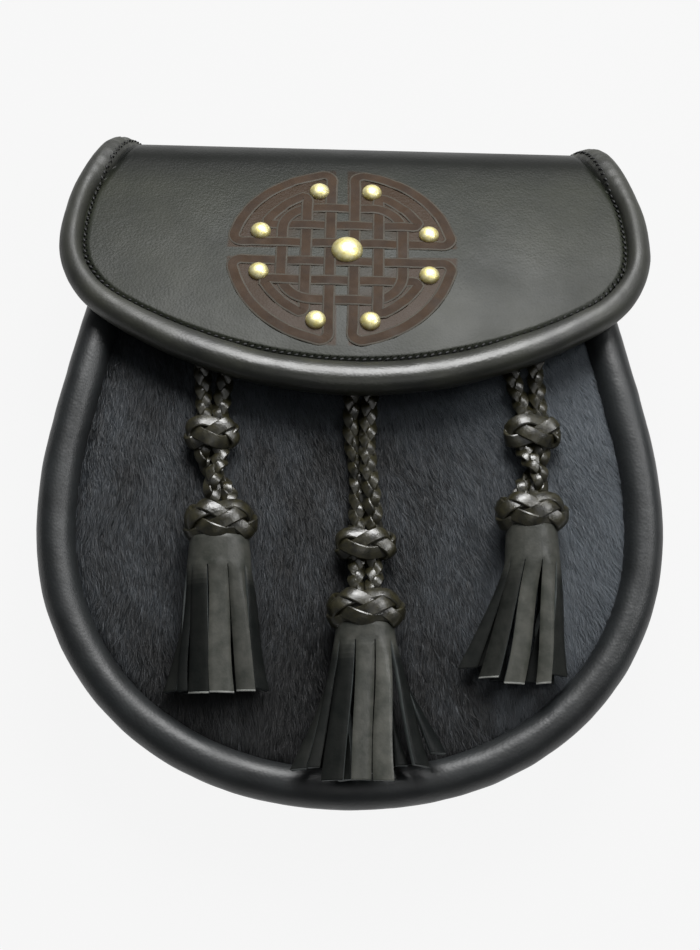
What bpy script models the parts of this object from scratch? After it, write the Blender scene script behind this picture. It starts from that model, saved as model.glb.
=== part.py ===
"""Sporran pouch lying on its back: hide front in a padded roll, studded flap, three braided tassels.

The front faces up (+Z), the ridge of the flap points to +Y, and the floor is z = 0.
All sizes below are millimetres. They become metres where a mesh is made.
"""

import math

import bmesh
import bpy
from mathutils import Vector

MM = 0.001
GAP = 0.3                # running gap between pieces that touch

# Leather and hide
FLAP_LEATHER = 2.5
BACK_LEATHER = 2.5
GUSSET_LEATHER = 2.0
HIDE = 3.0               # hair-on hide with its lining leather
HIDE_ABOVE_ROLL_AXIS = 1.0
DOME = 2.0               # how far the stuffed front swells in its middle

# Front: the roll's axis lies in a ruled surface, walked from the bottom edge to the mouth
FRONT_START = (-108.6, 24.5)         # y, z of the roll's axis at the bottom
FRONT_RISE_DEG = 5.0
FRONT_ROWS = (           # name, length, turn towards the back in degrees
    ("open front", 119.2, 0.0),
    ("bend under the flap", 72.0, 22.0),
    ("to the mouth", 10.0, 0.0),
)
ROLL_RADIUS = 6.0
BODY_HALF_WIDTH = 89.0   # roll's axis at the widest line
BODY_WIDEST_S = 81.5     # its distance above the bottom, along the front
BODY_ROUNDNESS = 2.12    # superellipse exponent of the lower half
BODY_SIDE_ROWS = (       # name, length, turn inwards in degrees, from the widest line up
    ("side", 28.5, 12.5),
    ("taper", 41.0, 0.0),
    ("shoulder", 26.0, -9.0),
    ("mouth", 24.0, 0.0),
)

# Back and gusset
BACK_INSET = 6.0         # back panel's edge inside the roll's axis
GUSSET_FOOT_INSET = 7.0
BACK_TILT_DEG = 2.4      # rests on its lower end and on the strap loops
BACK_TOP_Y = 104.8

# Flap: outer face walked from the lower edge over the top and under to the lap seam
FLAP_START = (14.9, 50.5)            # y, z where the unrolled distance is zero
FLAP_START_DEG = 3.0
TOP_BEND_RADIUS = 22.8
TOP_BEND_DEG = 69.5
FLAP_FRONT_ROWS = (
    ("lower edge", 9.0, 4.5),
    ("lower half of roundel", 35.8, 6.0),
    ("upper half of roundel", 35.8, 5.0),
    ("ease", 2.8, 2.0),
    ("over the top", TOP_BEND_RADIUS * math.radians(TOP_BEND_DEG), TOP_BEND_DEG),
)
LAP_LENGTH = 13.0        # flap leather sewn on under the back panel's top
FLAP_SKEW_DEG = 1.1      # the flap sits a little askew, clockwise from the front
FLAP_SHIFT_X = 1.3
FLAP_BOTTOM_V = -3.9     # piping's axis at the middle of the lower edge
FLAP_PIPING_RADIUS = 4.4
FLAP_OUTLINE_ROWS = (    # name, radius (0 = straight), turn in degrees, length if straight, pieces,
    # radius of the piping at the row's upper end
    ("lower edge", 126.0, 36.6, 0.0, 10, FLAP_PIPING_RADIUS),
    ("corner", 34.0, 53.0, 0.0, 7, FLAP_PIPING_RADIUS),
    ("side", 100.0, 18.5, 0.0, 4, 4.0),
    ("taper over the ridge", 0.0, 0.0, 36.0, 11, 3.4),
    ("under the back", 0.0, 0.0, 8.0, 5, 3.4),
    ("lap", 0.0, 0.0, LAP_LENGTH, 2, 3.4),
)
PIPING_ROWS = 5          # the piping ends where the lap begins
FLAP_COLUMNS = 8

# Studs, on the unrolled flap
ROUNDEL_CENTRE = (-3.4, 43.4)
CENTRE_STUD_AT = (-2.6, 44.5)
CENTRE_STUD_RADIUS = 5.0
CENTRE_STUD_HEIGHT = 2.6
RING_STUD_RADIUS = 3.2
RING_STUD_HEIGHT = 1.9
STUD_RING_RADIUS = 27.9
STUD_SIDE_DEG = 17.5     # each pair stands this far either side of an axis
PRESS_STUD_RADIUS = 6.0

# Strap loops: a strip that leaves the back panel, runs flat on the floor and comes back
LOOP_CENTRES_X = (-42.0, 42.0)
LOOP_WIDTH = 20.0
LOOP_LEATHER = 2.0
LOOP_STATIONS = (        # name, y, on the back panel or on the floor
    ("lower end", 40.0, "back"),
    ("lower foot", 48.0, "back"),
    ("span start", 52.5, "floor"),
    ("span end", 77.5, "floor"),
    ("upper foot", 81.5, "back"),
    ("upper end", 87.5, "back"),
)

# Tassels. x across, s along the front from the bottom, h above the hide
CORD = 4.6               # thickness of a braided leg
CORD_POINTS = 22
# A line row is x, s, h of the middle between the legs, each leg's distance from it, and how far the
# pair has turned about it in degrees; the last four rows run through the knots
TASSELS = (
    {
        "name": "left",
        "line": (
            (-42.6, 143.0, 2.7, 4.0, 0), (-42.0, 126.0, 2.7, 3.6, 0), (-42.2, 117.5, 3.8, 2.7, 0),
            (-42.2, 112.0, 4.9, 2.5, 0), (-42.2, 101.0, 4.9, 2.5, 0), (-41.6, 97.2, 5.6, 2.7, 45),
            (-40.8, 93.4, 6.5, 2.7, 90), (-39.8, 89.6, 7.5, 2.7, 135), (-39.0, 85.4, 8.4, 2.5, 180),
            (-39.0, 77.7, 8.4, 2.5, 180),
        ),
        "slider": (-42.2, 106.5, 4.9), "slider_size": (17.0, 11.0, 9.2),
        "knot": (-39.0, 77.4, 8.4), "knot_size": (22.6, 13.6, 16.0),
        "skirt_top": (17.8, 12.6), "slit_length": 37.0,
        "skirt_end": (-39.0, 26.5, 4.9), "skirt_spread": (28.5, 5.0),
    },
    {
        "name": "centre",
        "line": (
            (2.9, 140.0, 2.8, 3.5, 0), (3.2, 122.0, 2.8, 2.8, 0), (2.7, 108.0, 3.8, 2.6, 20),
            (3.6, 96.0, 4.7, 2.6, 50), (4.2, 87.0, 5.2, 2.6, 40), (4.4, 77.4, 5.4, 2.5, 0),
            (4.4, 66.0, 5.4, 2.5, 0), (4.3, 62.0, 7.1, 2.7, 0), (4.2, 58.2, 8.8, 2.5, 0),
            (4.2, 51.1, 8.8, 2.5, 0),
        ),
        "slider": (4.4, 71.6, 5.4), "slider_size": (19.0, 10.6, 10.2),
        "knot": (4.2, 50.8, 8.8), "knot_size": (23.8, 12.8, 16.6),
        "skirt_top": (17.1, 12.6), "slit_length": 40.5,
        "skirt_end": (4.7, 0.6, 10.2), "skirt_spread": (40.0, 4.6),
    },
    {
        "name": "right",
        "line": (
            (53.2, 143.0, 2.7, 4.4, 0), (53.4, 127.0, 2.7, 3.6, 0), (54.6, 118.5, 3.8, 2.7, 0),
            (55.2, 113.2, 4.9, 2.5, 0), (55.2, 102.2, 4.9, 2.5, 0), (55.6, 98.6, 5.7, 2.7, -45),
            (55.8, 95.2, 6.6, 2.7, -90), (55.0, 91.8, 7.5, 2.7, -135), (53.9, 88.2, 8.4, 2.5, -180),
            (53.9, 81.2, 8.4, 2.5, -180),
        ),
        "slider": (55.2, 107.7, 4.9), "slider_size": (18.0, 11.0, 9.2),
        "knot": (53.9, 80.9, 8.4), "knot_size": (22.6, 12.6, 16.0),
        "skirt_top": (15.4, 12.4), "slit_length": 36.0,
        "skirt_end": (51.0, 29.6, 4.9), "skirt_spread": (29.5, 5.0),
    },
)
BORE = (12.2, 6.2)       # hole through a knot, across and up
STRIPS = 10              # strips round a skirt
STRIP_THICKNESS = 1.8
SLIT_SHARE = 0.16        # of each strip's pitch, open beside it

# Colours (linear), roughness and metallic value of each finish
FINISHES = {
    "leather": ((0.016, 0.018, 0.018), 0.42, 0.0),
    "flap leather": ((0.085, 0.092, 0.082), 0.55, 0.0),
    "hide": ((0.010, 0.011, 0.013), 0.75, 0.0),
    "braid": ((0.012, 0.012, 0.010), 0.30, 0.0),
    "brass": ((0.62, 0.52, 0.16), 0.22, 1.0),
}


def walk(start, heading_deg, rows, distance):
    """Point and heading (radians) after a distance along rows of (length, turn in degrees)."""
    a, b = start
    heading = math.radians(heading_deg)
    last = len(rows) - 1
    for index, (length, turn_deg) in enumerate(rows):
        step = distance if index == last or distance < length else length
        turn = math.radians(turn_deg) * step / length
        if abs(turn) < 1e-9:
            a += step * math.cos(heading)
            b += step * math.sin(heading)
        else:
            radius = step / turn
            a += radius * (math.sin(heading + turn) - math.sin(heading))
            b -= radius * (math.cos(heading + turn) - math.cos(heading))
        heading += turn
        distance -= step
        if distance <= 0:
            break
    return a, b, heading


def lengths_and_turns(rows):
    return [(row[1], row[2]) for row in rows]


def back_face_z(y):
    """Height of the back panel's outer face."""
    lowest_y = FRONT_START[0] + BACK_INSET
    return (y - lowest_y) * math.tan(math.radians(BACK_TILT_DEG))


def flap_rows():
    """Rows of the flap's side profile, with the small bend that brings the lap up to the back panel."""
    rows = lengths_and_turns(FLAP_FRONT_ROWS)
    bend_y, bend_z, before = flap_profile(sum(length for length, _ in rows), rows)
    tilt = math.radians(BACK_TILT_DEG)
    after = math.pi - tilt
    drop = bend_z - back_face_z(bend_y) + (GAP + FLAP_LEATHER) / math.cos(tilt)
    down_share = math.cos(before) - math.cos(after)
    back_share = math.sin(after) - math.sin(before)
    radius = drop / (down_share + back_share * math.tan(tilt))
    rows.append((radius * (after - before), math.degrees(after - before)))
    rows.append((LAP_LENGTH, 0.0))
    return rows


def flap_profile(s, rows=None):
    """y, z and heading of the flap's outer face at unrolled distance s; turns carry it down."""
    if rows is None:
        rows = FLAP_ROWS
    if s < 0:
        heading = math.radians(FLAP_START_DEG)
        return FLAP_START[0] + s * math.cos(heading), FLAP_START[1] - s * math.sin(heading), heading
    y, down, heading = walk((FLAP_START[0], -FLAP_START[1]), FLAP_START_DEG, rows, s)
    return y, -down, heading


FLAP_ROWS = flap_rows()


def flap_point(u, v, h=0.0):
    """A point on the flap: u across, v up its own axis as unrolled, h out from its outer face."""
    y, z, heading = flap_profile(v)
    y += h * math.sin(heading)
    skew = math.radians(FLAP_SKEW_DEG)
    pivot = flap_profile(ROUNDEL_CENTRE[1])[0]
    x = FLAP_SHIFT_X + u * math.cos(skew) + (y - pivot) * math.sin(skew)
    y = pivot - u * math.sin(skew) + (y - pivot) * math.cos(skew)
    return Vector((x, y, z + h * math.cos(heading)))


def flap_normal(u, v):
    return (flap_point(u, v, 1.0) - flap_point(u, v, 0.0)).normalized()


def front_profile(s):
    """y, z and heading of the roll's axis surface at distance s from the bottom."""
    rows = lengths_and_turns(FRONT_ROWS)
    if s < 0:
        heading = math.radians(-FRONT_RISE_DEG)
        return FRONT_START[0] + s * math.cos(heading), FRONT_START[1] - s * math.sin(heading), heading
    y, down, heading = walk((FRONT_START[0], -FRONT_START[1]), -FRONT_RISE_DEG, rows, s)
    return y, -down, heading


def body_stations():
    """Right half of the roll's axis from bottom to mouth: rows of (x, s, outward x, outward s)."""
    stations = []
    lower_pieces = 16
    for index in range(lower_pieces + 1):
        t = math.pi / 2 * index / lower_pieces
        power = 2 / BODY_ROUNDNESS
        x = BODY_HALF_WIDTH * math.sin(t) ** power
        s = BODY_WIDEST_S * (1 - math.cos(t) ** power)
        stations.append((x, s))
    rows = lengths_and_turns(BODY_SIDE_ROWS)
    upper_pieces = 12
    upper_length = sum(length for length, _ in rows)
    for index in range(1, upper_pieces + 1):
        s, inward, _ = walk((0.0, 0.0), 0.0, rows, upper_length * index / upper_pieces)
        stations.append((BODY_HALF_WIDTH - inward, BODY_WIDEST_S + s))
    result = []
    for index, (x, s) in enumerate(stations):
        before = stations[index - 1] if index else (-stations[1][0], stations[1][1])
        after = stations[index + 1] if index + 1 < len(stations) else None
        if after is None:
            after = (2 * x - before[0], 2 * s - before[1])
        dx, ds = after[0] - before[0], after[1] - before[1]
        size = math.hypot(dx, ds)
        result.append((x, s, ds / size, -dx / size))
    return result


def whole_outline(half):
    """Left half mirrored, then the right half, as one run from mouth to mouth."""
    left = [(-x, s, -nx, ns) for x, s, nx, ns in reversed(half) if x > 1e-6]
    return left + half


def hide_swell(x, s):
    """Extra height of the stuffed front at x, s."""
    half = BODY_HALF_WIDTH * (1 - max(0.0, 1 - s / BODY_WIDEST_S) ** BODY_ROUNDNESS) ** (1 / BODY_ROUNDNESS)
    if abs(x) >= half or s < 0:
        return 0.0
    return DOME * (1 - (x / half) ** 2) * (half / BODY_HALF_WIDTH) ** 2


def front_point(x, s, h=0.0):
    """A point h above the hide's outer face."""
    y, z, heading = front_profile(s)
    lift = HIDE_ABOVE_ROLL_AXIS + hide_swell(x, s) + h
    return Vector((x, y + lift * math.sin(heading), z + lift * math.cos(heading)))


def material(finish):
    found = bpy.data.materials.get(finish)
    if found:
        return found
    colour, roughness, metallic = FINISHES[finish]
    made = bpy.data.materials.new(finish)
    made.use_nodes = True
    shader = made.node_tree.nodes["Principled BSDF"]
    shader.inputs["Base Color"].default_value = (*colour, 1.0)
    shader.inputs["Roughness"].default_value = roughness
    shader.inputs["Metallic"].default_value = metallic
    return made


def add_object(name, data, finish, parent):
    piece = bpy.data.objects.new(name, data)
    bpy.context.collection.objects.link(piece)
    piece.parent = parent
    data.materials.append(material(finish))
    return piece


def solid(name, points, faces, finish, parent, smooth_deg=40):
    """One closed mesh from points in millimetres and faces."""
    mesh = bpy.data.meshes.new(name)
    mesh.from_pydata([Vector(point) * MM for point in points], [], faces)
    bm = bmesh.new()
    bm.from_mesh(mesh)
    bmesh.ops.recalc_face_normals(bm, faces=bm.faces)
    bm.to_mesh(mesh)
    bm.free()
    mesh.shade_smooth()
    mesh.set_sharp_from_angle(angle=math.radians(smooth_deg))
    return add_object(name, mesh, finish, parent)


def loft(sections, close_ends=True):
    """Points and faces of a run of closed sections with equal numbers of points."""
    count = len(sections[0])
    points = [point for section in sections for point in section]
    faces = []
    for row in range(len(sections) - 1):
        for k in range(count):
            a, b = row * count + k, row * count + (k + 1) % count
            faces.append((a, b, b + count, a + count))
    if close_ends:
        faces.append(tuple(range(count)))
        faces.append(tuple(len(points) - count + k for k in range(count)))
    return points, faces


def tube_sections(path, ups, radii, sides):
    """Round sections square to a path; ups and radii hold its up side and radius at each point."""
    sections = []
    for index, (point, radius) in enumerate(zip(path, radii)):
        before = path[max(index - 1, 0)]
        after = path[min(index + 1, len(path) - 1)]
        along = (after - before).normalized()
        side = along.cross(ups[index]).normalized()
        up = side.cross(along)
        section = []
        for k in range(sides):
            turn = 2 * math.pi * (k + 0.5) / sides
            section.append(point + radius * (math.cos(turn) * side + math.sin(turn) * up))
        sections.append(section)
    return sections


def sheet_rows(half, point_at, columns, thickness):
    """Loft sections across a sheet whose half outline is rows of (x, s); point_at takes x, s, depth."""
    sections = []
    for x, s in half:
        across = [-x + 2 * x * k / columns for k in range(columns + 1)]
        upper = [point_at(value, s, 0.0) for value in across]
        lower = [point_at(value, s, -thickness) for value in reversed(across)]
        sections.append(upper + lower)
    return sections


def back_panel(parent, outline):
    """Flat plate: its outline is the roll's, set in, run on straight to the top under the flap."""
    plan = []
    for x, s, nx, ns in outline:
        plan.append((x - BACK_INSET * nx, front_profile(s)[0] - BACK_INSET * ns))
    half_top = plan[-1][0]
    plan = [(-half_top, BACK_TOP_Y)] + plan + [(half_top, BACK_TOP_Y)]
    tilt = math.radians(BACK_TILT_DEG)
    sections = []
    for depth in (0.0, BACK_LEATHER):
        shift = Vector((0.0, -depth * math.sin(tilt), depth * math.cos(tilt)))
        sections.append([Vector((x, y, back_face_z(y))) + shift for x, y in plan])
    solid("back_panel", *loft(sections), "leather", parent, smooth_deg=30)


def gusset(parent, outline):
    """Strip that stands on the back panel and leans out to the underside of the roll."""
    sections = []
    for x, s, nx, ns in outline:
        y, z, _ = front_profile(s)
        top_z = z - ROLL_RADIUS - GAP
        section = []
        for inset in (0.0, GUSSET_LEATHER):
            section.append(Vector((x - inset * nx, y - inset * ns, top_z)))
        for inset in (GUSSET_FOOT_INSET + GUSSET_LEATHER, GUSSET_FOOT_INSET):
            foot_x, foot_y = x - inset * nx, y - inset * ns
            foot_z = back_face_z(foot_y) + (BACK_LEATHER + GAP) / math.cos(math.radians(BACK_TILT_DEG))
            section.append(Vector((foot_x, foot_y, foot_z)))
        sections.append(section)
    solid("gusset", *loft(sections), "leather", parent)


def front_piping(parent, outline):
    path, ups = [], []
    for x, s, _, _ in outline:
        y, z, heading = front_profile(s)
        path.append(Vector((x, y, z)))
        ups.append(Vector((0.0, math.sin(heading), math.cos(heading))))
    radii = [ROLL_RADIUS] * len(path)
    solid("front_piping", *loft(tube_sections(path, ups, radii, 10)), "leather", parent)


def front_panel(parent, half_outline):
    inset = ROLL_RADIUS + GAP
    half = []
    for x, s, nx, ns in half_outline[1:]:
        half.append((x - inset * nx, s - inset * ns))
    sections = sheet_rows(half, front_point, 8, HIDE)
    solid("front_panel", *loft(sections), "hide", parent)


def flap_outline():
    """Right half of the piping's axis: rows of (u, v, outward u, outward v, its radius, row number)."""
    stations = []
    u, v, heading, roll = 0.0, FLAP_BOTTOM_V, 0.0, FLAP_PIPING_RADIUS
    stations.append((u, v, 0.0, -1.0, roll, 0))
    for row, (_, radius, turn_deg, straight, pieces, roll_end) in enumerate(FLAP_OUTLINE_ROWS):
        length = radius * math.radians(turn_deg) if radius else straight
        for piece in range(1, pieces + 1):
            share = piece / pieces
            pu, pv, ph = walk((u, v), math.degrees(heading), [(length, turn_deg)], length * share)
            stations.append((pu, pv, math.sin(ph), -math.cos(ph), roll + (roll_end - roll) * share, row))
        u, v, heading, roll = pu, pv, ph, roll_end
    return stations


def flap(parent, stations):
    half = [(u - (roll + GAP) * nu, v - (roll + GAP) * nv) for u, v, nu, nv, roll, _ in stations[1:]]
    sections = sheet_rows(half, flap_point, FLAP_COLUMNS, FLAP_LEATHER)
    solid("flap", *loft(sections), "flap leather", parent)


def flap_piping(parent, stations):
    run = [(u, v, roll) for u, v, _, _, roll, row in stations if row < PIPING_ROWS]
    run = [(-u, v, roll) for u, v, roll in reversed(run[1:])] + run
    path = [flap_point(u, v, -FLAP_LEATHER / 2) for u, v, _ in run]
    ups = [flap_normal(u, v) for u, v, _ in run]
    radii = [roll for _, _, roll in run]
    solid("flap_piping", *loft(tube_sections(path, ups, radii, 10)), "leather", parent)


def turned(name, rings, centre, axis, sides, finish, parent):
    """A turned piece: rings of (radius, height along the axis), closed at both ends."""
    axis = axis.normalized()
    side = axis.cross(Vector((1.0, 0.0, 0.0))).normalized()
    other = axis.cross(side)
    sections = []
    for radius, height in rings:
        section = []
        for k in range(sides):
            turn = 2 * math.pi * k / sides
            section.append(centre + height * axis + radius * (math.cos(turn) * side + math.sin(turn) * other))
        sections.append(section)
    solid(name, *loft(sections), finish, parent)


def dome_rings(radius, height, rows=4):
    """Edge, shoulder and crown of a pressed brass dome."""
    rings = [(radius * 0.94, 0.0)]
    for index in range(rows):
        rise = math.pi / 2 * index / rows
        rings.append((radius * math.cos(rise), height * (0.15 + 0.85 * math.sin(rise))))
    return rings


def studs(parent):
    u, v = CENTRE_STUD_AT
    seat = flap_point(u, v, GAP)
    turned("centre_stud", dome_rings(CENTRE_STUD_RADIUS, CENTRE_STUD_HEIGHT), seat, flap_normal(u, v), 14,
           "brass", parent)
    number = 1
    for axis_deg in (0, 90, 180, 270):
        for side_deg in (-STUD_SIDE_DEG, STUD_SIDE_DEG):
            turn = math.radians(axis_deg + side_deg)
            u = ROUNDEL_CENTRE[0] + STUD_RING_RADIUS * math.cos(turn)
            v = ROUNDEL_CENTRE[1] + STUD_RING_RADIUS * math.sin(turn)
            seat = flap_point(u, v, GAP)
            turned("ring_stud_%d" % number, dome_rings(RING_STUD_RADIUS, RING_STUD_HEIGHT, 3), seat,
                   flap_normal(u, v), 12, "brass", parent)
            number += 1


def press_stud(parent):
    """Plain hidden fastener that fills the space between the flap and the front."""
    u, v = CENTRE_STUD_AT
    top = flap_point(u, v, -FLAP_LEATHER - GAP)
    axis = flap_normal(u, v)
    s = min((k * 0.5 for k in range(300, 380)),
            key=lambda value: (front_point(top.x, value) - top).cross(axis).length)
    slope_room = PRESS_STUD_RADIUS * abs(math.sin(flap_profile(v)[2] - front_profile(s)[2]))
    height = (top - front_point(top.x, s)).dot(axis) - GAP - slope_room
    waist = PRESS_STUD_RADIUS * 0.7
    rings = [(PRESS_STUD_RADIUS, 0.0), (PRESS_STUD_RADIUS, -height * 0.3), (waist, -height * 0.4),
             (waist, -height * 0.6), (PRESS_STUD_RADIUS, -height * 0.7), (PRESS_STUD_RADIUS, -height)]
    turned("press_stud", rings, top, axis, 14, "brass", parent)


def strap_loop(name, centre_x, parent):
    """A strip of leather bent down from the back panel to the floor and up again."""
    line = []
    for _, y, carrier in LOOP_STATIONS:
        z = LOOP_LEATHER / 2
        if carrier == "back":
            z = back_face_z(y) - GAP - LOOP_LEATHER / 2
        line.append(Vector((0.0, y, z)))
    upper, lower = [], []
    for index, point in enumerate(line):
        before = (point - line[index - 1]).normalized() if index else None
        after = (line[index + 1] - point).normalized() if index + 1 < len(line) else None
        before, after = before or after, after or before
        mean = (before + after).normalized()
        normal = Vector((0.0, -mean.z, mean.y))
        mitre = LOOP_LEATHER / 2 / max(0.5, mean.dot(after))
        upper.append(point + normal * mitre)
        lower.append(point - normal * mitre)
    outline = upper + list(reversed(lower))
    sections = []
    for side in (-0.5, 0.5):
        shift = Vector((centre_x + side * LOOP_WIDTH, 0.0, 0.0))
        sections.append([point + shift for point in outline])
    solid(name, *loft(sections), "leather", parent, smooth_deg=20)


def smooth_route(points, count):
    """Evenly spaced points on a curve through the route's own points."""
    fine = []
    steps = 24
    for i in range(len(points) - 1):
        p1, p2 = points[i], points[i + 1]
        p0 = points[i - 1] if i else p1 * 2 - p2
        p3 = points[i + 2] if i + 2 < len(points) else p2 * 2 - p1
        for k in range(steps):
            t = k / steps
            fine.append(0.5 * (2 * p1 + (p2 - p0) * t + (2 * p0 - 5 * p1 + 4 * p2 - p3) * t ** 2
                               + (3 * p1 - p0 - 3 * p2 + p3) * t ** 3))
    fine.append(points[-1])
    run = [0.0]
    for i in range(1, len(fine)):
        run.append(run[-1] + (fine[i] - fine[i - 1]).length)
    route, k = [], 0
    for index in range(count):
        wanted = run[-1] * index / (count - 1)
        while k + 2 < len(run) and run[k + 1] < wanted:
            k += 1
        share = (wanted - run[k]) / max(run[k + 1] - run[k], 1e-9)
        route.append(fine[k].lerp(fine[k + 1], share))
    return route


def cord(name, points, parent):
    """A braided leg as a plain tube along its route."""
    curve = bpy.data.curves.new(name, "CURVE")
    curve.dimensions = "3D"
    curve.bevel_depth = CORD / 2 * MM
    curve.bevel_resolution = 2
    curve.use_fill_caps = True
    route = smooth_route(points, CORD_POINTS)
    spline = curve.splines.new("POLY")
    spline.points.add(len(route) - 1)
    for target, point in zip(spline.points, route):
        target.co = (*(point * MM), 1.0)
    add_object(name, curve, "braid", parent)


def ring_knot(name, middle, size, parent):
    """A barrel with a hole: size is across, along and up; it lies along s with its middle given."""
    x, s, h = middle
    width, length, height = size
    sides = 14
    profile = (          # share of the length, share of the outer size; the last two run the bore
        (-0.5, 0.80), (-0.28, 0.96), (0.0, 1.0), (0.28, 0.96), (0.5, 0.80), (0.5, 0.0), (-0.5, 0.0),
    )
    sections = []
    for share, swell in profile:
        half_x = width / 2 * swell if swell else BORE[0] / 2
        half_h = height / 2 * swell if swell else BORE[1] / 2
        section = []
        for k in range(sides):
            turn = 2 * math.pi * (k + 0.5) / sides
            section.append(front_point(x + half_x * math.cos(turn), s + share * length,
                                       h + half_h * math.sin(turn) + hide_swell(x, s)
                                       - hide_swell(x + half_x * math.cos(turn), s + share * length)))
        sections.append(section)
    points, faces = loft(sections, close_ends=False)
    last = (len(sections) - 1) * sides
    for k in range(sides):
        faces.append((last + k, last + (k + 1) % sides, (k + 1) % sides, k))
    solid(name, points, faces, "braid", parent)


def tassel_skirt(name, row, parent):
    """Rolled leather: a neck in the knot's bore, a head, and strips cut from the head's wall."""
    x, knot_s, h = row["knot"]
    _, knot_length, _ = row["knot_size"]
    end_x, end_s, end_h = row["skirt_end"]
    top_s = knot_s - knot_length / 2 - GAP
    slit_s = end_s + row["slit_length"]
    marks = []           # each strip has a left and a right edge
    for strip in range(STRIPS):
        for edge in (SLIT_SHARE / 2, 1 - SLIT_SHARE / 2):
            marks.append(2 * math.pi * (strip + edge) / STRIPS)

    def ring(s, centre_x, height, width, depth):
        swell = hide_swell(centre_x, s)
        section = []
        for turn in marks:
            px = centre_x + width / 2 * math.cos(turn)
            level = height + depth / 2 * math.sin(turn)
            section.append(front_point(px, s, level + swell - hide_swell(px, s)))
        return section

    width, depth = row["skirt_top"]
    share = (top_s - slit_s) / (top_s - end_s)
    slit_x = x + (end_x - x) * share
    slit_width, slit_depth = width * 1.08, depth * 0.92
    slit_h = h + (end_h - h) * share
    neck = (BORE[0] - 2 * GAP, BORE[1] - 2 * GAP)
    wall = 2 * STRIP_THICKNESS
    sections = [
        ring(knot_s - GAP, x, h, *neck),
        ring(top_s, x, h, *neck),
        ring(top_s, x, h, width, depth),
        ring(slit_s, slit_x, slit_h, slit_width, slit_depth),
        ring(slit_s, slit_x, slit_h, slit_width - wall, slit_depth - wall),
    ]
    points, faces = loft(sections)
    outer, inner, count = 3 * len(marks), 4 * len(marks), len(marks)
    spread, flat = row["skirt_spread"]
    bottom = ring(end_s, end_x, end_h, spread, flat + STRIP_THICKNESS)
    bottom_inner = ring(end_s, end_x, end_h, spread, flat - STRIP_THICKNESS)
    for strip in range(STRIPS):
        a, b = 2 * strip, 2 * strip + 1
        faces.remove((outer + a, outer + b, inner + b, inner + a))
        previous = (outer + a, outer + b, inner + b, inner + a)
        for stage in (0.5, 1.0):
            ease = stage ** 1.3
            base = len(points)
            for start, target in ((outer + a, bottom[a]), (outer + b, bottom[b]),
                                  (inner + b, bottom_inner[b]), (inner + a, bottom_inner[a])):
                origin = points[start]
                place = origin.lerp(target, stage)
                place.x = origin.x + (target.x - origin.x) * ease
                points.append(place)
            current = tuple(range(base, base + 4))
            for k in range(4):
                m = (k + 1) % 4
                faces.append((previous[k], previous[m], current[m], current[k]))
            previous = current
        faces.append(previous)
    solid(name, points, faces, "leather", parent)


def leg_route(line, side):
    """One leg of a pair that turns about its middle line."""
    route = []
    for x, s, h, spread, turn_deg in line:
        turn = math.radians(turn_deg)
        leg_x = x + side * spread * math.cos(turn)
        leg_h = h + side * spread * math.sin(turn)
        route.append(front_point(leg_x, s, leg_h + hide_swell(x, s) - hide_swell(leg_x, s)))
    return route


def tassel(row, parent):
    name = row["name"]
    for letter, side in (("a", -1), ("b", 1)):
        cord("%s_cord_%s" % (name, letter), leg_route(row["line"], side), parent)
    ring_knot("%s_slider_knot" % name, row["slider"], row["slider_size"], parent)
    ring_knot("%s_turks_head" % name, row["knot"], row["knot_size"], parent)
    tassel_skirt("%s_tassel_skirt" % name, row, parent)


def main():
    for old in list(bpy.data.objects):
        bpy.data.objects.remove(old)
    sporran = bpy.data.objects.new("sporran", None)
    bpy.context.collection.objects.link(sporran)

    half = body_stations()
    outline = whole_outline(half)
    back_panel(sporran, outline)
    gusset(sporran, outline)
    front_piping(sporran, outline)
    front_panel(sporran, half)

    stations = flap_outline()
    flap(sporran, stations)
    flap_piping(sporran, stations)
    studs(sporran)
    press_stud(sporran)

    for name, centre_x in zip(("strap_loop_left", "strap_loop_right"), LOOP_CENTRES_X):
        strap_loop(name, centre_x, sporran)
    for row in TASSELS:
        tassel(row, sporran)


main()
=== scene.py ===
"""Looks of a sporran pouch lying on its back: fur front, studded flap and three braided tassels.

Sizes are millimetres unless a name says otherwise, and MM turns them into metres. The front faces up (+Z),
the ridge of the flap points to +Y. The profiles and the cords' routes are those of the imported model.
"""

import math

import bmesh
import bpy
import numpy as np
from mathutils import Matrix, Vector


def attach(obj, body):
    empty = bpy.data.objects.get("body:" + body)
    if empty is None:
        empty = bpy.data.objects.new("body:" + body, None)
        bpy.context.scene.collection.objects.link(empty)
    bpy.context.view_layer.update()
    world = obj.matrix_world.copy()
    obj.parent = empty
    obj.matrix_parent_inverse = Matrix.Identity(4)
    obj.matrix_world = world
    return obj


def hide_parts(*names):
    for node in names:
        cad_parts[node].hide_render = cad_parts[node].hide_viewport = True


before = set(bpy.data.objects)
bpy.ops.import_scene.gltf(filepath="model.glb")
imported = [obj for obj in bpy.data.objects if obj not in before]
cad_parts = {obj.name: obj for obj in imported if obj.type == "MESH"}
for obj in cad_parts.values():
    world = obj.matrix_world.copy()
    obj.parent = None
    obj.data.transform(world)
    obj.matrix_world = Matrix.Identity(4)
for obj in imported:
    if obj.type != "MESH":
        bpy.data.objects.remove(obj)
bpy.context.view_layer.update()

MM = 0.001

# Front of the pouch, walked from its bottom edge to the mouth
FRONT_START = (-108.6, 24.5)
FRONT_RISE_DEG = 5.0
FRONT_ROWS = ((119.2, 0.0), (72.0, 22.0), (10.0, 0.0))          # length, turn in degrees
ROLL_RADIUS = 6.0
HIDE = 3.0
HIDE_ABOVE_ROLL_AXIS = 1.0
DOME = 2.0
BODY_HALF_WIDTH = 89.0
BODY_WIDEST_S = 81.5
BODY_ROUNDNESS = 2.12
BODY_SIDE_ROWS = ((28.5, 12.5), (41.0, 0.0), (26.0, -9.0), (24.0, 0.0))

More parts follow.
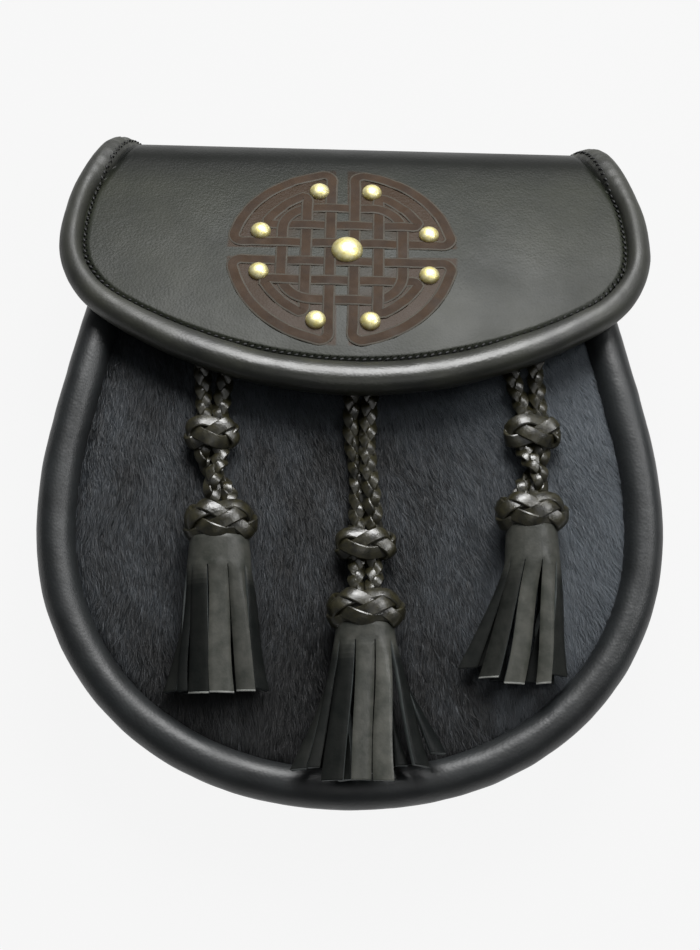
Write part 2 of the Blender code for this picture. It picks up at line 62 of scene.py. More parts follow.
# Back and gusset
BACK_INSET = 6.0
BACK_LEATHER = 2.5
BACK_TILT_DEG = 2.4
BACK_TOP_Y = 104.8
GUSSET_LEATHER = 2.0
GUSSET_FOOT_INSET = 7.0
GAP = 0.3

# Flap, unrolled: u across, v up
FLAP_LEATHER = 2.5
FLAP_START = (14.9, 50.5)
FLAP_START_DEG = 3.0
TOP_BEND_RADIUS = 22.8
TOP_BEND_DEG = 69.5
FLAP_FRONT_ROWS = ((9.0, 4.5), (35.8, 6.0), (35.8, 5.0), (2.8, 2.0),
                   (TOP_BEND_RADIUS * math.radians(TOP_BEND_DEG), TOP_BEND_DEG))
LAP_LENGTH = 13.0
FLAP_SKEW_DEG = 1.1
FLAP_SHIFT_X = 1.3
FLAP_BOTTOM_V = -3.9
FLAP_PIPING_RADIUS = 4.4
FLAP_OUTLINE_ROWS = (    # radius (0 = straight), turn in degrees, length if straight, piping radius after it
    (126.0, 36.6, 0.0, 4.4), (34.0, 53.0, 0.0, 4.4), (100.0, 18.5, 0.0, 4.0),
    (0.0, 0.0, 36.0, 3.4), (0.0, 0.0, 8.0, 3.4), (0.0, 0.0, LAP_LENGTH, 3.4),
)
PIPING_ROWS = 5
ROUNDEL_CENTRE = (-3.4, 43.4)
BANDS_CENTRE = (-4.1, 43.7)
CENTRE_STUD_AT = (-2.6, 44.5)
STUD_RING_RADIUS = 27.9
STUD_SIDE_DEG = 17.5

# Braided legs. A line row is x, s, h of the middle between the legs, each leg's distance from it, and
# how far the pair has turned about it in degrees
CORD = 4.6
CORD_POINTS = 22
PATH_POINTS = 88         # of a smoothed route worked out for each leg, which nothing uses
TASSELS = (
    {
        "name": "left",
        "line": (
            (-42.6, 143.0, 2.7, 4.0, 0), (-42.0, 126.0, 2.7, 3.6, 0), (-42.2, 117.5, 3.8, 2.7, 0),
            (-42.2, 112.0, 4.9, 2.5, 0), (-42.2, 101.0, 4.9, 2.5, 0), (-41.6, 97.2, 5.6, 2.7, 45),
            (-40.8, 93.4, 6.5, 2.7, 90), (-39.8, 89.6, 7.5, 2.7, 135), (-39.0, 85.4, 8.4, 2.5, 180),
            (-39.0, 77.7, 8.4, 2.5, 180),
        ),
        "slider": (-42.2, 106.5, 4.9), "slider_size": (17.0, 11.0, 9.2),
        "knot": (-39.0, 77.4, 8.4), "knot_size": (22.6, 13.6, 16.0),
        "skirt_top": (17.8, 12.6), "slit_length": 37.0,
        "skirt_end": (-39.0, 26.5, 4.9),
    },
    {
        "name": "centre",
        "line": (
            (2.9, 140.0, 2.8, 3.5, 0), (3.2, 122.0, 2.8, 2.8, 0), (2.7, 108.0, 3.8, 2.6, 20),
            (3.6, 96.0, 4.7, 2.6, 50), (4.2, 87.0, 5.2, 2.6, 40), (4.4, 77.4, 5.4, 2.5, 0),
            (4.4, 66.0, 5.4, 2.5, 0), (4.3, 62.0, 7.1, 2.7, 0), (4.2, 58.2, 8.8, 2.5, 0),
            (4.2, 51.1, 8.8, 2.5, 0),
        ),
        "slider": (4.4, 71.6, 5.4), "slider_size": (19.0, 10.6, 10.2),
        "knot": (4.2, 50.8, 8.8), "knot_size": (23.8, 12.8, 16.6),
        "skirt_top": (17.1, 12.6), "slit_length": 40.5,
        "skirt_end": (4.7, 0.6, 10.2),
    },
    {
        "name": "right",
        "line": (
            (53.2, 143.0, 2.7, 4.4, 0), (53.4, 127.0, 2.7, 3.6, 0), (54.6, 118.5, 3.8, 2.7, 0),
            (55.2, 113.2, 4.9, 2.5, 0), (55.2, 102.2, 4.9, 2.5, 0), (55.6, 98.6, 5.7, 2.7, -45),
            (55.8, 95.2, 6.6, 2.7, -90), (55.0, 91.8, 7.5, 2.7, -135), (53.9, 88.2, 8.4, 2.5, -180),
            (53.9, 81.2, 8.4, 2.5, -180),
        ),
        "slider": (55.2, 107.7, 4.9), "slider_size": (18.0, 11.0, 9.2),
        "knot": (53.9, 80.9, 8.4), "knot_size": (22.6, 12.6, 16.0),
        "skirt_top": (15.4, 12.4), "slit_length": 36.0,
        "skirt_end": (51.0, 29.6, 4.9),
    },
)


def walk(start, heading_deg, rows, distance):
    """Point and heading (radians) after a distance along rows of (length, turn in degrees)."""
    a, b = start
    heading = math.radians(heading_deg)
    last = len(rows) - 1
    for index, (length, turn_deg) in enumerate(rows):
        step = distance if index == last or distance < length else length
        turn = math.radians(turn_deg) * step / length
        if abs(turn) < 1e-9:
            a += step * math.cos(heading)
            b += step * math.sin(heading)
        else:
            radius = step / turn
            a += radius * (math.sin(heading + turn) - math.sin(heading))
            b -= radius * (math.cos(heading + turn) - math.cos(heading))
        heading += turn
        distance -= step
        if distance <= 0:
            break
    return a, b, heading


def back_face_z(y):
    """Height of the back panel's outer face."""
    return (y - FRONT_START[0] - BACK_INSET) * math.tan(math.radians(BACK_TILT_DEG))


def flap_rows():
    """Rows of the flap's side profile, with the small bend that brings the lap up to the back panel."""
    rows = list(FLAP_FRONT_ROWS)
    bend_y, bend_z, before = flap_profile(sum(length for length, _ in rows), rows)
    tilt = math.radians(BACK_TILT_DEG)
    after = math.pi - tilt
    drop = bend_z - back_face_z(bend_y) + (GAP + FLAP_LEATHER) / math.cos(tilt)
    down_share = math.cos(before) - math.cos(after)
    back_share = math.sin(after) - math.sin(before)
    radius = drop / (down_share + back_share * math.tan(tilt))
    rows.append((radius * (after - before), math.degrees(after - before)))
    rows.append((LAP_LENGTH, 0.0))
    return rows


def side_profile(start, start_deg, rows, distance):
    """y, z and heading at a distance along a side profile: straight before its start, and turns carry it down."""
    if distance < 0:
        heading = math.radians(start_deg)
        return start[0] + distance * math.cos(heading), start[1] - distance * math.sin(heading), heading
    y, down, heading = walk((start[0], -start[1]), start_deg, rows, distance)
    return y, -down, heading


def flap_profile(v, rows=None):
    """y, z and heading of the flap's outer face at unrolled distance v."""
    return side_profile(FLAP_START, FLAP_START_DEG, rows or FLAP_ROWS, v)


FLAP_ROWS = flap_rows()


def flap_point(u, v, h=0.0):
    """A point on the flap: u across, v up its own axis as unrolled, h out from its outer face."""
    y, z, heading = flap_profile(v)
    y += h * math.sin(heading)
    skew = math.radians(FLAP_SKEW_DEG)
    pivot = flap_profile(ROUNDEL_CENTRE[1])[0]
    x = FLAP_SHIFT_X + u * math.cos(skew) + (y - pivot) * math.sin(skew)
    y = pivot - u * math.sin(skew) + (y - pivot) * math.cos(skew)
    return Vector((x, y, z + h * math.cos(heading)))


def flap_out(u, v):
    """The way out of the flap's face."""
    return (flap_point(u, v, 1.0) - flap_point(u, v, 0.0)).normalized()


def front_profile(s):
    """y, z and heading of the roll's axis surface at distance s from the bottom."""
    return side_profile(FRONT_START, -FRONT_RISE_DEG, FRONT_ROWS, s)


def hide_swell(x, s):
    """Extra height of the stuffed front at x, s."""
    half = BODY_HALF_WIDTH * (1 - max(0.0, 1 - s / BODY_WIDEST_S) ** BODY_ROUNDNESS) ** (1 / BODY_ROUNDNESS)
    if abs(x) >= half or s < 0:
        return 0.0
    return DOME * (1 - (x / half) ** 2) * (half / BODY_HALF_WIDTH) ** 2


def front_point(x, s, h=0.0):
    """A point h above the hide's outer face."""
    y, z, heading = front_profile(s)
    lift = HIDE_ABOVE_ROLL_AXIS + hide_swell(x, s) + h
    return Vector((x, y + lift * math.sin(heading), z + lift * math.cos(heading)))


def level_front_point(x, s, h, middle_x):
    """Like front_point, but its height is counted from the hide at middle_x."""
    return front_point(x, s, h + hide_swell(middle_x, s) - hide_swell(x, s))


def body_outline(lower_pieces, upper_pieces):
    """Right half of the roll's axis from bottom to mouth: rows of (x, s, outward x, outward s)."""
    stations = []
    for index in range(lower_pieces + 1):
        t = math.pi / 2 * index / lower_pieces
        power = 2 / BODY_ROUNDNESS
        stations.append((BODY_HALF_WIDTH * math.sin(t) ** power, BODY_WIDEST_S * (1 - math.cos(t) ** power)))
    upper_length = sum(length for length, _ in BODY_SIDE_ROWS)
    for index in range(1, upper_pieces + 1):
        s, inward, _ = walk((0.0, 0.0), 0.0, BODY_SIDE_ROWS, upper_length * index / upper_pieces)
        stations.append((BODY_HALF_WIDTH - inward, BODY_WIDEST_S + s))
    result = []
    for index, (x, s) in enumerate(stations):
        before = stations[index - 1] if index else (-stations[1][0], stations[1][1])
        after = stations[index + 1] if index + 1 < len(stations) else (2 * x - before[0], 2 * s - before[1])
        dx, ds = after[0] - before[0], after[1] - before[1]
        size = math.hypot(dx, ds)
        result.append((x, s, ds / size, -dx / size))
    return result


def whole_outline(half):
    """Left half mirrored, then the right half, as one run from mouth to mouth."""
    return [(-x, s, -nx, ns) for x, s, nx, ns in reversed(half) if x > 1e-6] + half


def flap_outline(step):
    """Right half of the piping's axis: rows of (u, v, outward u, outward v, its radius, row number)."""
    u, v, heading, roll = 0.0, FLAP_BOTTOM_V, 0.0, FLAP_PIPING_RADIUS
    stations = [(u, v, 0.0, -1.0, roll, 0)]
    for row, (radius, turn_deg, straight, roll_end) in enumerate(FLAP_OUTLINE_ROWS):
        length = radius * math.radians(turn_deg) if radius else straight
        pieces = max(2, round(length / step))
        for piece in range(1, pieces + 1):
            share = piece / pieces
            pu, pv, ph = walk((u, v), math.degrees(heading), [(length, turn_deg)], length * share)
            stations.append((pu, pv, math.sin(ph), -math.cos(ph), roll + (roll_end - roll) * share, row))
        u, v, heading, roll = pu, pv, ph, roll_end
    return stations


def run_lengths(points):
    """Each point's distance from the first, along the run."""
    lengths = [0.0]
    for a, b in zip(points, points[1:]):
        lengths.append(lengths[-1] + (b - a).length)
    return lengths


def spaced(points, distances):
    """The points at these distances along a run, each with the number of the stretch that it lies on."""
    lengths = run_lengths(points)
    k = 0
    for wanted in distances:
        while k + 2 < len(lengths) and lengths[k + 1] < wanted:
            k += 1
        share = (wanted - lengths[k]) / max(lengths[k + 1] - lengths[k], 1e-9)
        yield points[k].lerp(points[k + 1], share), k


CURVE_STEPS = 24         # between two points of a route


def smooth_route(points, count):
    """Evenly spaced points on a curve through the route's own points."""
    fine = []
    for i in range(len(points) - 1):
        p1, p2 = points[i], points[i + 1]
        p0 = points[i - 1] if i else p1 * 2 - p2
        p3 = points[i + 2] if i + 2 < len(points) else p2 * 2 - p1
        for k in range(CURVE_STEPS):
            t = k / CURVE_STEPS
            fine.append(0.5 * (2 * p1 + (p2 - p0) * t + (2 * p0 - 5 * p1 + 4 * p2 - p3) * t ** 2
                               + (3 * p1 - p0 - 3 * p2 + p3) * t ** 3))
    fine.append(points[-1])
    length = run_lengths(fine)[-1]
    return [point for point, _ in spaced(fine, [length * index / (count - 1) for index in range(count)])]


# Materials

def colour(hex_value):
    """An sRGB hex value as the linear colour that a socket takes."""
    channels = [int(hex_value[k:k + 2], 16) / 255 for k in (1, 3, 5)]
    return [c / 12.92 if c <= 0.04045 else ((c + 0.055) / 1.055) ** 2.4 for c in channels] + [1.0]


def set_sockets(tree, node, values, links=None):
    """Sets sockets, a colour by its hex value, and links others; a node stands for its first output in use."""
    for socket, value in values.items():
        node.inputs[socket].default_value = colour(value) if isinstance(value, str) else value
    for socket, source in (links or {}).items():
        if isinstance(source, bpy.types.Node):
            source = next(output for output in source.outputs if output.enabled)
        tree.links.new(source, node.inputs[socket])


def add_node(tree, kind, values, links=None, **settings):
    """Adds a node with its settings, sockets and links."""
    made = tree.nodes.new(kind)
    for name, value in settings.items():
        setattr(made, name, value)
    set_sockets(tree, made, values, links)
    return made


def start_material(name):
    """A new material: its tree, its shader and the Object coordinates."""
    made = bpy.data.materials.new(name)
    made.use_nodes = True
    tree = made.node_tree
    place = add_node(tree, "ShaderNodeTexCoord", {}).outputs["Object"]
    return made, tree, tree.nodes["Principled BSDF"], place


def per_metre(size_mm):
    """A texture's scale for a pattern of this size."""
    return 1 / (size_mm * MM)


def two_tones(tree, source, low, high):
    """Mixes two hex colours by a texture's value."""
    share = add_node(tree, "ShaderNodeMapRange", {"From Min": 0.35, "From Max": 0.65}, {"Value": source})
    return add_node(tree, "ShaderNodeMix", {"A": low, "B": high}, {"Factor": share}, data_type="RGBA")


def leather_grain(tree, place, cell_mm, depth_mm, crease_depth_mm):
    """Bump of tanned hide: rounded pebbles of one cell size, and long shallow creases."""
    pebbles = add_node(tree, "ShaderNodeTexVoronoi", {"Scale": per_metre(cell_mm), "Smoothness": 0.35},
                       {"Vector": place}, feature="SMOOTH_F1")
    creases = add_node(tree, "ShaderNodeTexNoise", {"Scale": per_metre(6.0), "Detail": 5.0, "Distortion": 0.4},
                       {"Vector": place})
    coarse = add_node(tree, "ShaderNodeBump", {"Strength": 1.0, "Distance": crease_depth_mm * MM},
                      {"Height": creases})
    return add_node(tree, "ShaderNodeBump", {"Strength": 0.7, "Distance": depth_mm * MM},
                    {"Height": pebbles, "Normal": coarse}, invert=True)


def worn_roughness(tree, place, patch_mm, low, high):
    """Roughness that wanders where hands have polished the leather."""
    wear = add_node(tree, "ShaderNodeTexNoise", {"Scale": per_metre(patch_mm), "Detail": 4.0}, {"Vector": place})
    return add_node(tree, "ShaderNodeMapRange", {"From Min": 0.3, "From Max": 0.7, "To Min": low, "To Max": high},
                    {"Value": wear})


def leather(name, low, high, roughness, cell_mm, depth_mm, crease_depth_mm=0.12, patch_mm=18.0, shine=0.5):
    """Tanned cowhide: two close tones, pebbled grain and a wandering polish."""
    made, tree, shader, place = start_material(name)
    clouds = add_node(tree, "ShaderNodeTexNoise", {"Scale": per_metre(patch_mm), "Detail": 6.0, "Roughness": 0.6},
                      {"Vector": place})
    set_sockets(tree, shader, {"IOR": 1.5, "Specular IOR Level": shine}, {
        "Base Color": two_tones(tree, clouds, low, high),
        "Roughness": worn_roughness(tree, place, patch_mm * 0.7, *roughness),
        "Normal": leather_grain(tree, place, cell_mm, depth_mm, crease_depth_mm)})
    return made, tree, shader, place


LEATHERS = {             # name, dark and light tone, roughness, pebble, its depth, a crease's, patch, shine
    # Black dyed cowhide, glazed and drawn tight over padding: a broad soft highlight along the roll
    "roll": ("padded_roll_cowhide", "#141617", "#202324", (0.42, 0.52), 0.9, 0.05, 0.12, 18.0, 0.6),
    # Plain vegetable-tanned black cowhide, matt, for the back, the gusset and the strap loops
    "back": ("plain_black_cowhide", "#121313", "#1b1c1c", (0.52, 0.64), 1.1, 0.07),
    # The tassel strips' sliced sides, a little paler than their faces
    "strip side": ("sliced_side", "#3f4443", "#505554", (0.5, 0.6), 0.4, 0.02, 0.02, 4.0),
    # The knife-cut end of a strip, pale and dry, because the dye doesn't reach all through the hide
    "cut edge": ("knife_cut_edge", "#7b7d79", "#a0a19c", (0.60, 0.70), 0.4, 0.02, 0.02, 4.0),
    # Glazed kangaroo-hide lace, plaited wet: black with an olive cast and sharp highlights
    "braid": ("glazed_lace_hide", "#15140b", "#302d1b", (0.26, 0.42), 0.5, 0.05, 0.16, 2.4, 0.9),
    # Thin brown-stained leather, embossed and pressed on the flap: matt, with a dry open grain
    "band": ("stained_knot_leather", "#2e2116", "#3a2a1b", (0.60, 0.72), 0.6, 0.05, 0.05, 7.0, 0.2),
    # The bands' rubbed edges, where the stain has worn to a dusty grey-brown
    "band edge": ("rubbed_band_edge", "#38332b", "#454037", (0.60, 0.70), 0.5, 0.03, 0.03, 5.0, 0.3),
    # The hide's skin between the hairs: nearly black, without gloss
    "skin": ("black_hide_skin", "#0b0c0d", "#141517", (0.75, 0.85), 0.7, 0.08),
}


def flap_roll_leather():
    """The flap's own waxed hide, drawn over its padding: polished along its lower edge, duller up the sides."""
    made, tree, shader, place = leather("waxed_roll_cowhide", "#1a1b17", "#2a2b23", (0.44, 0.56), 0.8, 0.05,
                                        0.10, 14.0, 0.7)
    worn = shader.inputs["Roughness"].links[0].from_socket
    parts = add_node(tree, "ShaderNodeSeparateXYZ", {}, {"Vector": place})
    polish = add_node(tree, "ShaderNodeMapRange", {"From Min": 15 * MM, "From Max": 36 * MM, "To Min": 0.7,
                                                   "To Max": 1.1}, {"Value": parts.outputs["Y"]})
    roughness = add_node(tree, "ShaderNodeMath", {}, {0: worn, 1: polish}, operation="MULTIPLY")
    set_sockets(tree, shader, {}, {"Roughness": roughness})
    return made


def flap_leather():
    """Black aniline-dyed cowhide, waxed, a little dusty and stained brown in the roundel, with painted shade that
    darkens it towards the ridge of its fold.
    """
    made, tree, shader, place = leather("waxed_flap_cowhide", "#1c1f18", "#282a21", (0.38, 0.48), 0.8, 0.06,
                                        0.09, 30.0)
    dusty = shader.inputs["Base Color"].links[0].from_socket
    from_middle = add_node(tree, "ShaderNodeVectorMath", {1: flap_point(*BANDS_CENTRE) * MM}, {0: place},
                           operation="SUBTRACT")
    level = add_node(tree, "ShaderNodeVectorMath", {1: (1.0, 1.02, 0.0)}, {0: from_middle}, operation="MULTIPLY")
    reach = add_node(tree, "ShaderNodeVectorMath", {}, {0: level}, operation="LENGTH")
    both_ways = add_node(tree, "ShaderNodeVectorMath", {}, {0: level}, operation="ABSOLUTE")
    parts = add_node(tree, "ShaderNodeSeparateXYZ", {}, {"Vector": both_ways})
    nearest_axis = add_node(tree, "ShaderNodeMath", {}, {0: parts.outputs["X"], 1: parts.outputs["Y"]},
                            operation="MINIMUM")
    stain = None
    for source, start, end, low, high in (
        (reach, 35.6, 36.6, 1.0, 0.0),          # within the circle
        (reach, 15.0, 22.0, 0.2, 0.8),          # less in its middle
        (nearest_axis, 1.6, 2.2, 0.0, 1.0),     # none in the four slots
    ):
        ramp = add_node(tree, "ShaderNodeMapRange", {"From Min": start * MM, "From Max": end * MM, "To Min": low,
                                                     "To Max": high}, {"Value": source})
        stain = add_node(tree, "ShaderNodeMath", {}, {0: stain, 1: ramp}, operation="MULTIPLY") if stain else ramp
    shine = add_node(tree, "ShaderNodeMapRange", {"To Min": 0.21, "To Max": 0.13}, {"Value": stain})
    stained = add_node(tree, "ShaderNodeMix", {"B": "#35220f"}, {"Factor": stain, "A": dusty}, data_type="RGBA")
    # Painted shade: the colour darkens to near-black towards the ridge, where the fold turns away from the softbox.
    height = add_node(tree, "ShaderNodeSeparateXYZ", {}, {"Vector": place}).outputs["Y"]
    fold = add_node(tree, "ShaderNodeMapRange", {"From Min": 84 * MM, "From Max": 100 * MM, "To Max": 0.95},
                    {"Value": height}, interpolation_type="SMOOTHSTEP")
    with_painted_ridge_shade = add_node(tree, "ShaderNodeMix", {"B": "#0e100e"}, {"Factor": fold, "A": stained}, data_type="RGBA")
    set_sockets(tree, shader, {}, {"Base Color": with_painted_ridge_shade, "Specular IOR Level": shine})
    return made


def skirt_leather():
    """Thin chrome-tanned cowhide for the tassels, with painted light and shade: each strip's tone takes it from
    blue-black to the leather's grey.
    """
    made, tree, shader, _ = leather("tassel_cowhide", "#383a34", "#52524c", (0.36, 0.50), 0.7, 0.035, 0.07, 5.0)
    pale = shader.inputs["Base Color"].links[0].from_socket
    tone_with_painted_light = add_node(tree, "ShaderNodeAttribute", {}, attribute_name="tone_with_painted_light").outputs["Fac"]
    # Painted light and shade: blue-black for the shaded strips, the leather's grey for the lit ones.
    lit_and_shaded_strip_colour = add_node(tree, "ShaderNodeMix", {"A": "#0c0f10"}, {"Factor": tone_with_painted_light, "B": pale}, data_type="RGBA")
    shine = add_node(tree, "ShaderNodeMapRange", {"To Min": 0.08, "To Max": 0.5}, {"Value": tone_with_painted_light})
    set_sockets(tree, shader, {}, {"Base Color": lit_and_shaded_strip_colour, "Specular IOR Level": shine})
    return made


def fur():
    """Black hair-on cowhide: each hair's tone, between blue-black and grey, holds its own colour and also painted
    light and shade, with a soft sheen.
    """
    made, tree, shader, _ = start_material("black_cow_hair")
    # Each hair's tone holds painted light and shade as well as its own colour.
    tone_with_painted_light = add_node(tree, "ShaderNodeAttribute", {}, attribute_name="tone_with_painted_light").outputs["Fac"]
    mixed = add_node(tree, "ShaderNodeMix", {"A": "#060708", "B": "#575d63"}, {"Factor": tone_with_painted_light}, data_type="RGBA")
    set_sockets(tree, shader, {"Roughness": 0.55, "Specular IOR Level": 0.38}, {"Base Color": mixed})
    return made


def waxed_thread():
    """Waxed black linen thread: matt, with two plies that turn round each other."""
    made, tree, shader, place = start_material("waxed_linen_thread")
    plies = add_node(tree, "ShaderNodeTexWave", {"Scale": per_metre(3.0), "Distortion": 1.0}, {"Vector": place})
    bump = add_node(tree, "ShaderNodeBump", {"Strength": 0.5, "Distance": 0.05 * MM},
                    {"Height": plies.outputs["Fac"]})
    set_sockets(tree, shader, {"Base Color": "#0f1011", "Roughness": 0.6}, {"Normal": bump})
    return made


def painted_hole_shade():
    """Painted shade for a stitch hole: a near-black matt mouth, dark for the shade inside the hole."""
    made, tree, shader, _ = start_material("painted_hole_shade")
    set_sockets(tree, shader, {"Base Color": "#050505", "Roughness": 0.9, "Specular IOR Level": 0.1})
    return made


def stud_brass():
    """Pressed yellow brass, lacquered: pale greenish gold, with pinholes in the lacquer."""
    made, tree, shader, place = start_material("lacquered_brass")
    tarnish = add_node(tree, "ShaderNodeTexNoise", {"Scale": per_metre(1.6), "Detail": 5.0}, {"Vector": place})
    pits = add_node(tree, "ShaderNodeBump", {"Strength": 0.25, "Distance": 0.02 * MM}, {"Height": tarnish})
    set_sockets(tree, shader, {"Metallic": 0.8, "Coat Weight": 0.6, "Coat Roughness": 0.12}, {
        "Base Color": two_tones(tree, tarnish, "#dccf82", "#f2eab8"), "Normal": pits,
        "Roughness": worn_roughness(tree, place, 2.4, 0.44, 0.54)})
    return made


FINISH = {finish: leather(*row)[0] for finish, row in LEATHERS.items()}
FINISH.update({
    "flap roll": flap_roll_leather(), "flap": flap_leather(), "skirt": skirt_leather(), "fur": fur(),
    "thread": waxed_thread(), "hole": painted_hole_shade(), "brass": stud_brass(),
})


# Modelling

def alone(piece):
    """Selects this piece and nothing else."""
    bpy.ops.object.select_all(action="DESELECT")
    piece.select_set(True)
    bpy.context.view_layer.objects.active = piece


def edit(piece):
    """Edit mode on this piece alone, with all of it selected."""
    alone(piece)
    bpy.ops.object.mode_set(mode="EDIT")
    bpy.ops.mesh.select_all(action="SELECT")


def edit_done():
    """Back to object mode."""
    bpy.ops.object.mode_set(mode="OBJECT")


def face_outwards(piece, merge=None):
    """Turns a piece's faces outwards, after merging points that are closer than a distance."""
    edit(piece)
    if merge:
        bpy.ops.mesh.remove_doubles(threshold=merge)
    bpy.ops.mesh.normals_make_consistent(inside=False)
    edit_done()


def pick(piece, wanted, kind="VERT"):
    """In edit mode, selects the vertices or faces whose place passes a test."""
    bpy.ops.mesh.select_mode(type=kind)
    bpy.ops.mesh.select_all(action="DESELECT")
    bm = bmesh.from_edit_mesh(piece.data)
    items = bm.verts if kind == "VERT" else bm.faces
    for item in items:
        item.select_set(wanted(item.co if kind == "VERT" else item.calc_center_median()))
    bm.select_flush_mode()
    bmesh.update_edit_mesh(piece.data)


def add_modifier(piece, kind, **settings):
    """Adds a modifier and applies it at once."""
    alone(piece)
    made = piece.modifiers.new(kind.lower(), kind)
    for name, value in settings.items():
        setattr(made, name, value)
    bpy.ops.object.modifier_apply(modifier=made.name)


def wall(piece, thickness, offset=-1.0, rim_material=0):
    """Gives a sheet its thickness, below its face."""
    add_modifier(piece, "SOLIDIFY", thickness=thickness * MM, offset=offset, use_even_offset=True,
                 material_offset_rim=rim_material)


def round_edges(piece, width, segments=2, angle_deg=50, material=-1):
    """Rounds a piece's sharp edges."""
    add_modifier(piece, "BEVEL", width=width * MM, segments=segments, limit_method="ANGLE",
                 angle_limit=math.radians(angle_deg), material=material)


def dress(piece, name, finish, *nodes, smooth_deg=60):
    """Names a piece, gives it its finish and body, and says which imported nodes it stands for."""
    piece.name = name
    piece.data.name = name
    if not piece.data.materials:
        piece.data.materials.append(FINISH[finish])
    alone(piece)
    bpy.ops.object.shade_smooth_by_angle(angle=math.radians(smooth_deg))
    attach(piece, "root")
    if nodes:
        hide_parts(*nodes)
    return piece


def mesh_piece(points, faces):
    """An object from points in millimetres and faces."""
    mesh = bpy.data.meshes.new("piece")
    mesh.from_pydata([Vector(point) * MM for point in points], [], faces)
    mesh.update()
    piece = bpy.data.objects.new("piece", mesh)
    bpy.context.collection.objects.link(piece)
    return piece


def put_in_order(piece):
    """Numbers a mesh's points and faces by their places: extrude and others leave them in a chance order."""
    mesh = piece.data
    points = [tuple(vertex.co) for vertex in mesh.vertices]
    order = sorted(range(len(points)), key=points.__getitem__)
    number = {old: new for new, old in enumerate(order)}
    faces = []
    for polygon in mesh.polygons:
        corners = [number[k] for k in polygon.vertices]
        first = corners.index(min(corners))
        faces.append(tuple(corners[first:] + corners[:first]))
    mesh.clear_geometry()
    mesh.from_pydata([points[k] for k in order], [], sorted(faces))
    mesh.update()


def new_grid(columns, rows):
    """A flat square grid from -1 to 1 both ways."""
    bpy.ops.object.select_all(action="DESELECT")
    bpy.ops.mesh.primitive_grid_add(x_subdivisions=columns, y_subdivisions=rows, size=2)
    return bpy.context.object


def form(piece, place):
    """Bends a piece that was modelled flat, in millimetres, into its place on the pouch."""
    for vertex in piece.data.vertices:
        vertex.co = Vector(place(*vertex.co)) * MM
    piece.data.update()


def drawn_sheet(rows, columns):
    """A flat sheet, drawn out row by row: rows of half width and distance along, in millimetres."""
    sheet = new_grid(columns, 1)
    edit(sheet)
    pick(sheet, lambda co: co.y > 0)
    bpy.ops.mesh.delete(type="VERT")
    bpy.ops.mesh.select_all(action="SELECT")
    bpy.ops.transform.resize(value=(rows[0][0], 1, 1), center_override=(0, 0, 0))
    bpy.ops.transform.translate(value=(0, rows[0][1] + 1, 0))
    for (half, along), (next_half, next_along) in zip(rows, rows[1:]):
        bpy.ops.mesh.extrude_region_move(TRANSFORM_OT_translate={"value": (0, next_along - along, 0)})
        bpy.ops.transform.resize(value=(next_half / half, 1, 1), center_override=(0, 0, 0))
    edit_done()
    face_outwards(sheet)
    if sheet.data.polygons[0].normal.z < 0:
        sheet.data.flip_normals()
    put_in_order(sheet)
    return sheet


def crowd_to_edges(sheet, rows):
    """Slides a drawn sheet's columns towards its two edges, where the seams need them."""
    alongs = np.array([along for _, along in rows])
    halves = np.array([half for half, _ in rows])
    for vertex in sheet.data.vertices:
        half = float(np.interp(vertex.co.y, alongs, halves))
        share = max(-1.0, min(1.0, vertex.co.x / half))
        vertex.co.x = half * math.sin(share * math.pi / 2)


def near_run(run):
    """A function that gives a flat point's distance from a run of points, and the run's nearest point."""
    a = np.array(run[:-1])
    step = np.array(run[1:]) - a
    size = (step ** 2).sum(1)

    def nearest(x, y):
        from_a = np.array((x, y)) - a
        share = np.clip((from_a * step).sum(1) / size, 0, 1)
        gap = np.hypot(*(from_a - share[:, None] * step).T)
        k = int(gap.argmin())
        return float(gap[k]), a[k] + share[k] * step[k]

    return nearest


def join_shapes(shapes):
    """Several (points, faces) as one."""
    points, faces = [], []
    for more_points, more_faces in shapes:
        base = len(points)
        points += more_points
        faces += [tuple(base + k for k in face) for face in more_faces]
    return points, faces


def ring_faces(rings, sides, closed=False):
    """Faces between rings of points, one after another; flat ends where they don't close up."""
    faces = []
    for row in range(rings if closed else rings - 1):
        for k in range(sides):
            beside, after = (k + 1) % sides, (row + 1) % rings * sides
            faces.append((row * sides + k, row * sides + beside, after + beside, after + k))
    if not closed:
        faces.append(tuple(reversed(range(sides))))
        faces.append(tuple((rings - 1) * sides + k for k in range(sides)))
    return faces


# Camera, lights and floor

CAMERA_TARGET = (0.0, -9.8, 25.0)
CAMERA_DISTANCE = 632.0
CAMERA_ELEVATION_DEG = 68.0
CAMERA_AZIMUTH_DEG = -2.5
CAMERA_LENS = 77.3       # on the usual 36 mm sensor

LIT_POINT = (0.0, 0.0, 0.02)     # in metres, as the softboxes' distance and size
SOFTBOXES = (            # name, the way to it from the lit point, distance, size, power in watts
    ("overhead_softbox", (0.13, 0.92, 1.0), 1.0, 0.56, 14.0),
    ("camera_fill", (0.10, -0.45, 1.0), 0.9, 0.50, 0.55),
    ("side_softbox", (0.9, 0.25, 1.0), 1.0, 0.40, 3.2),
)


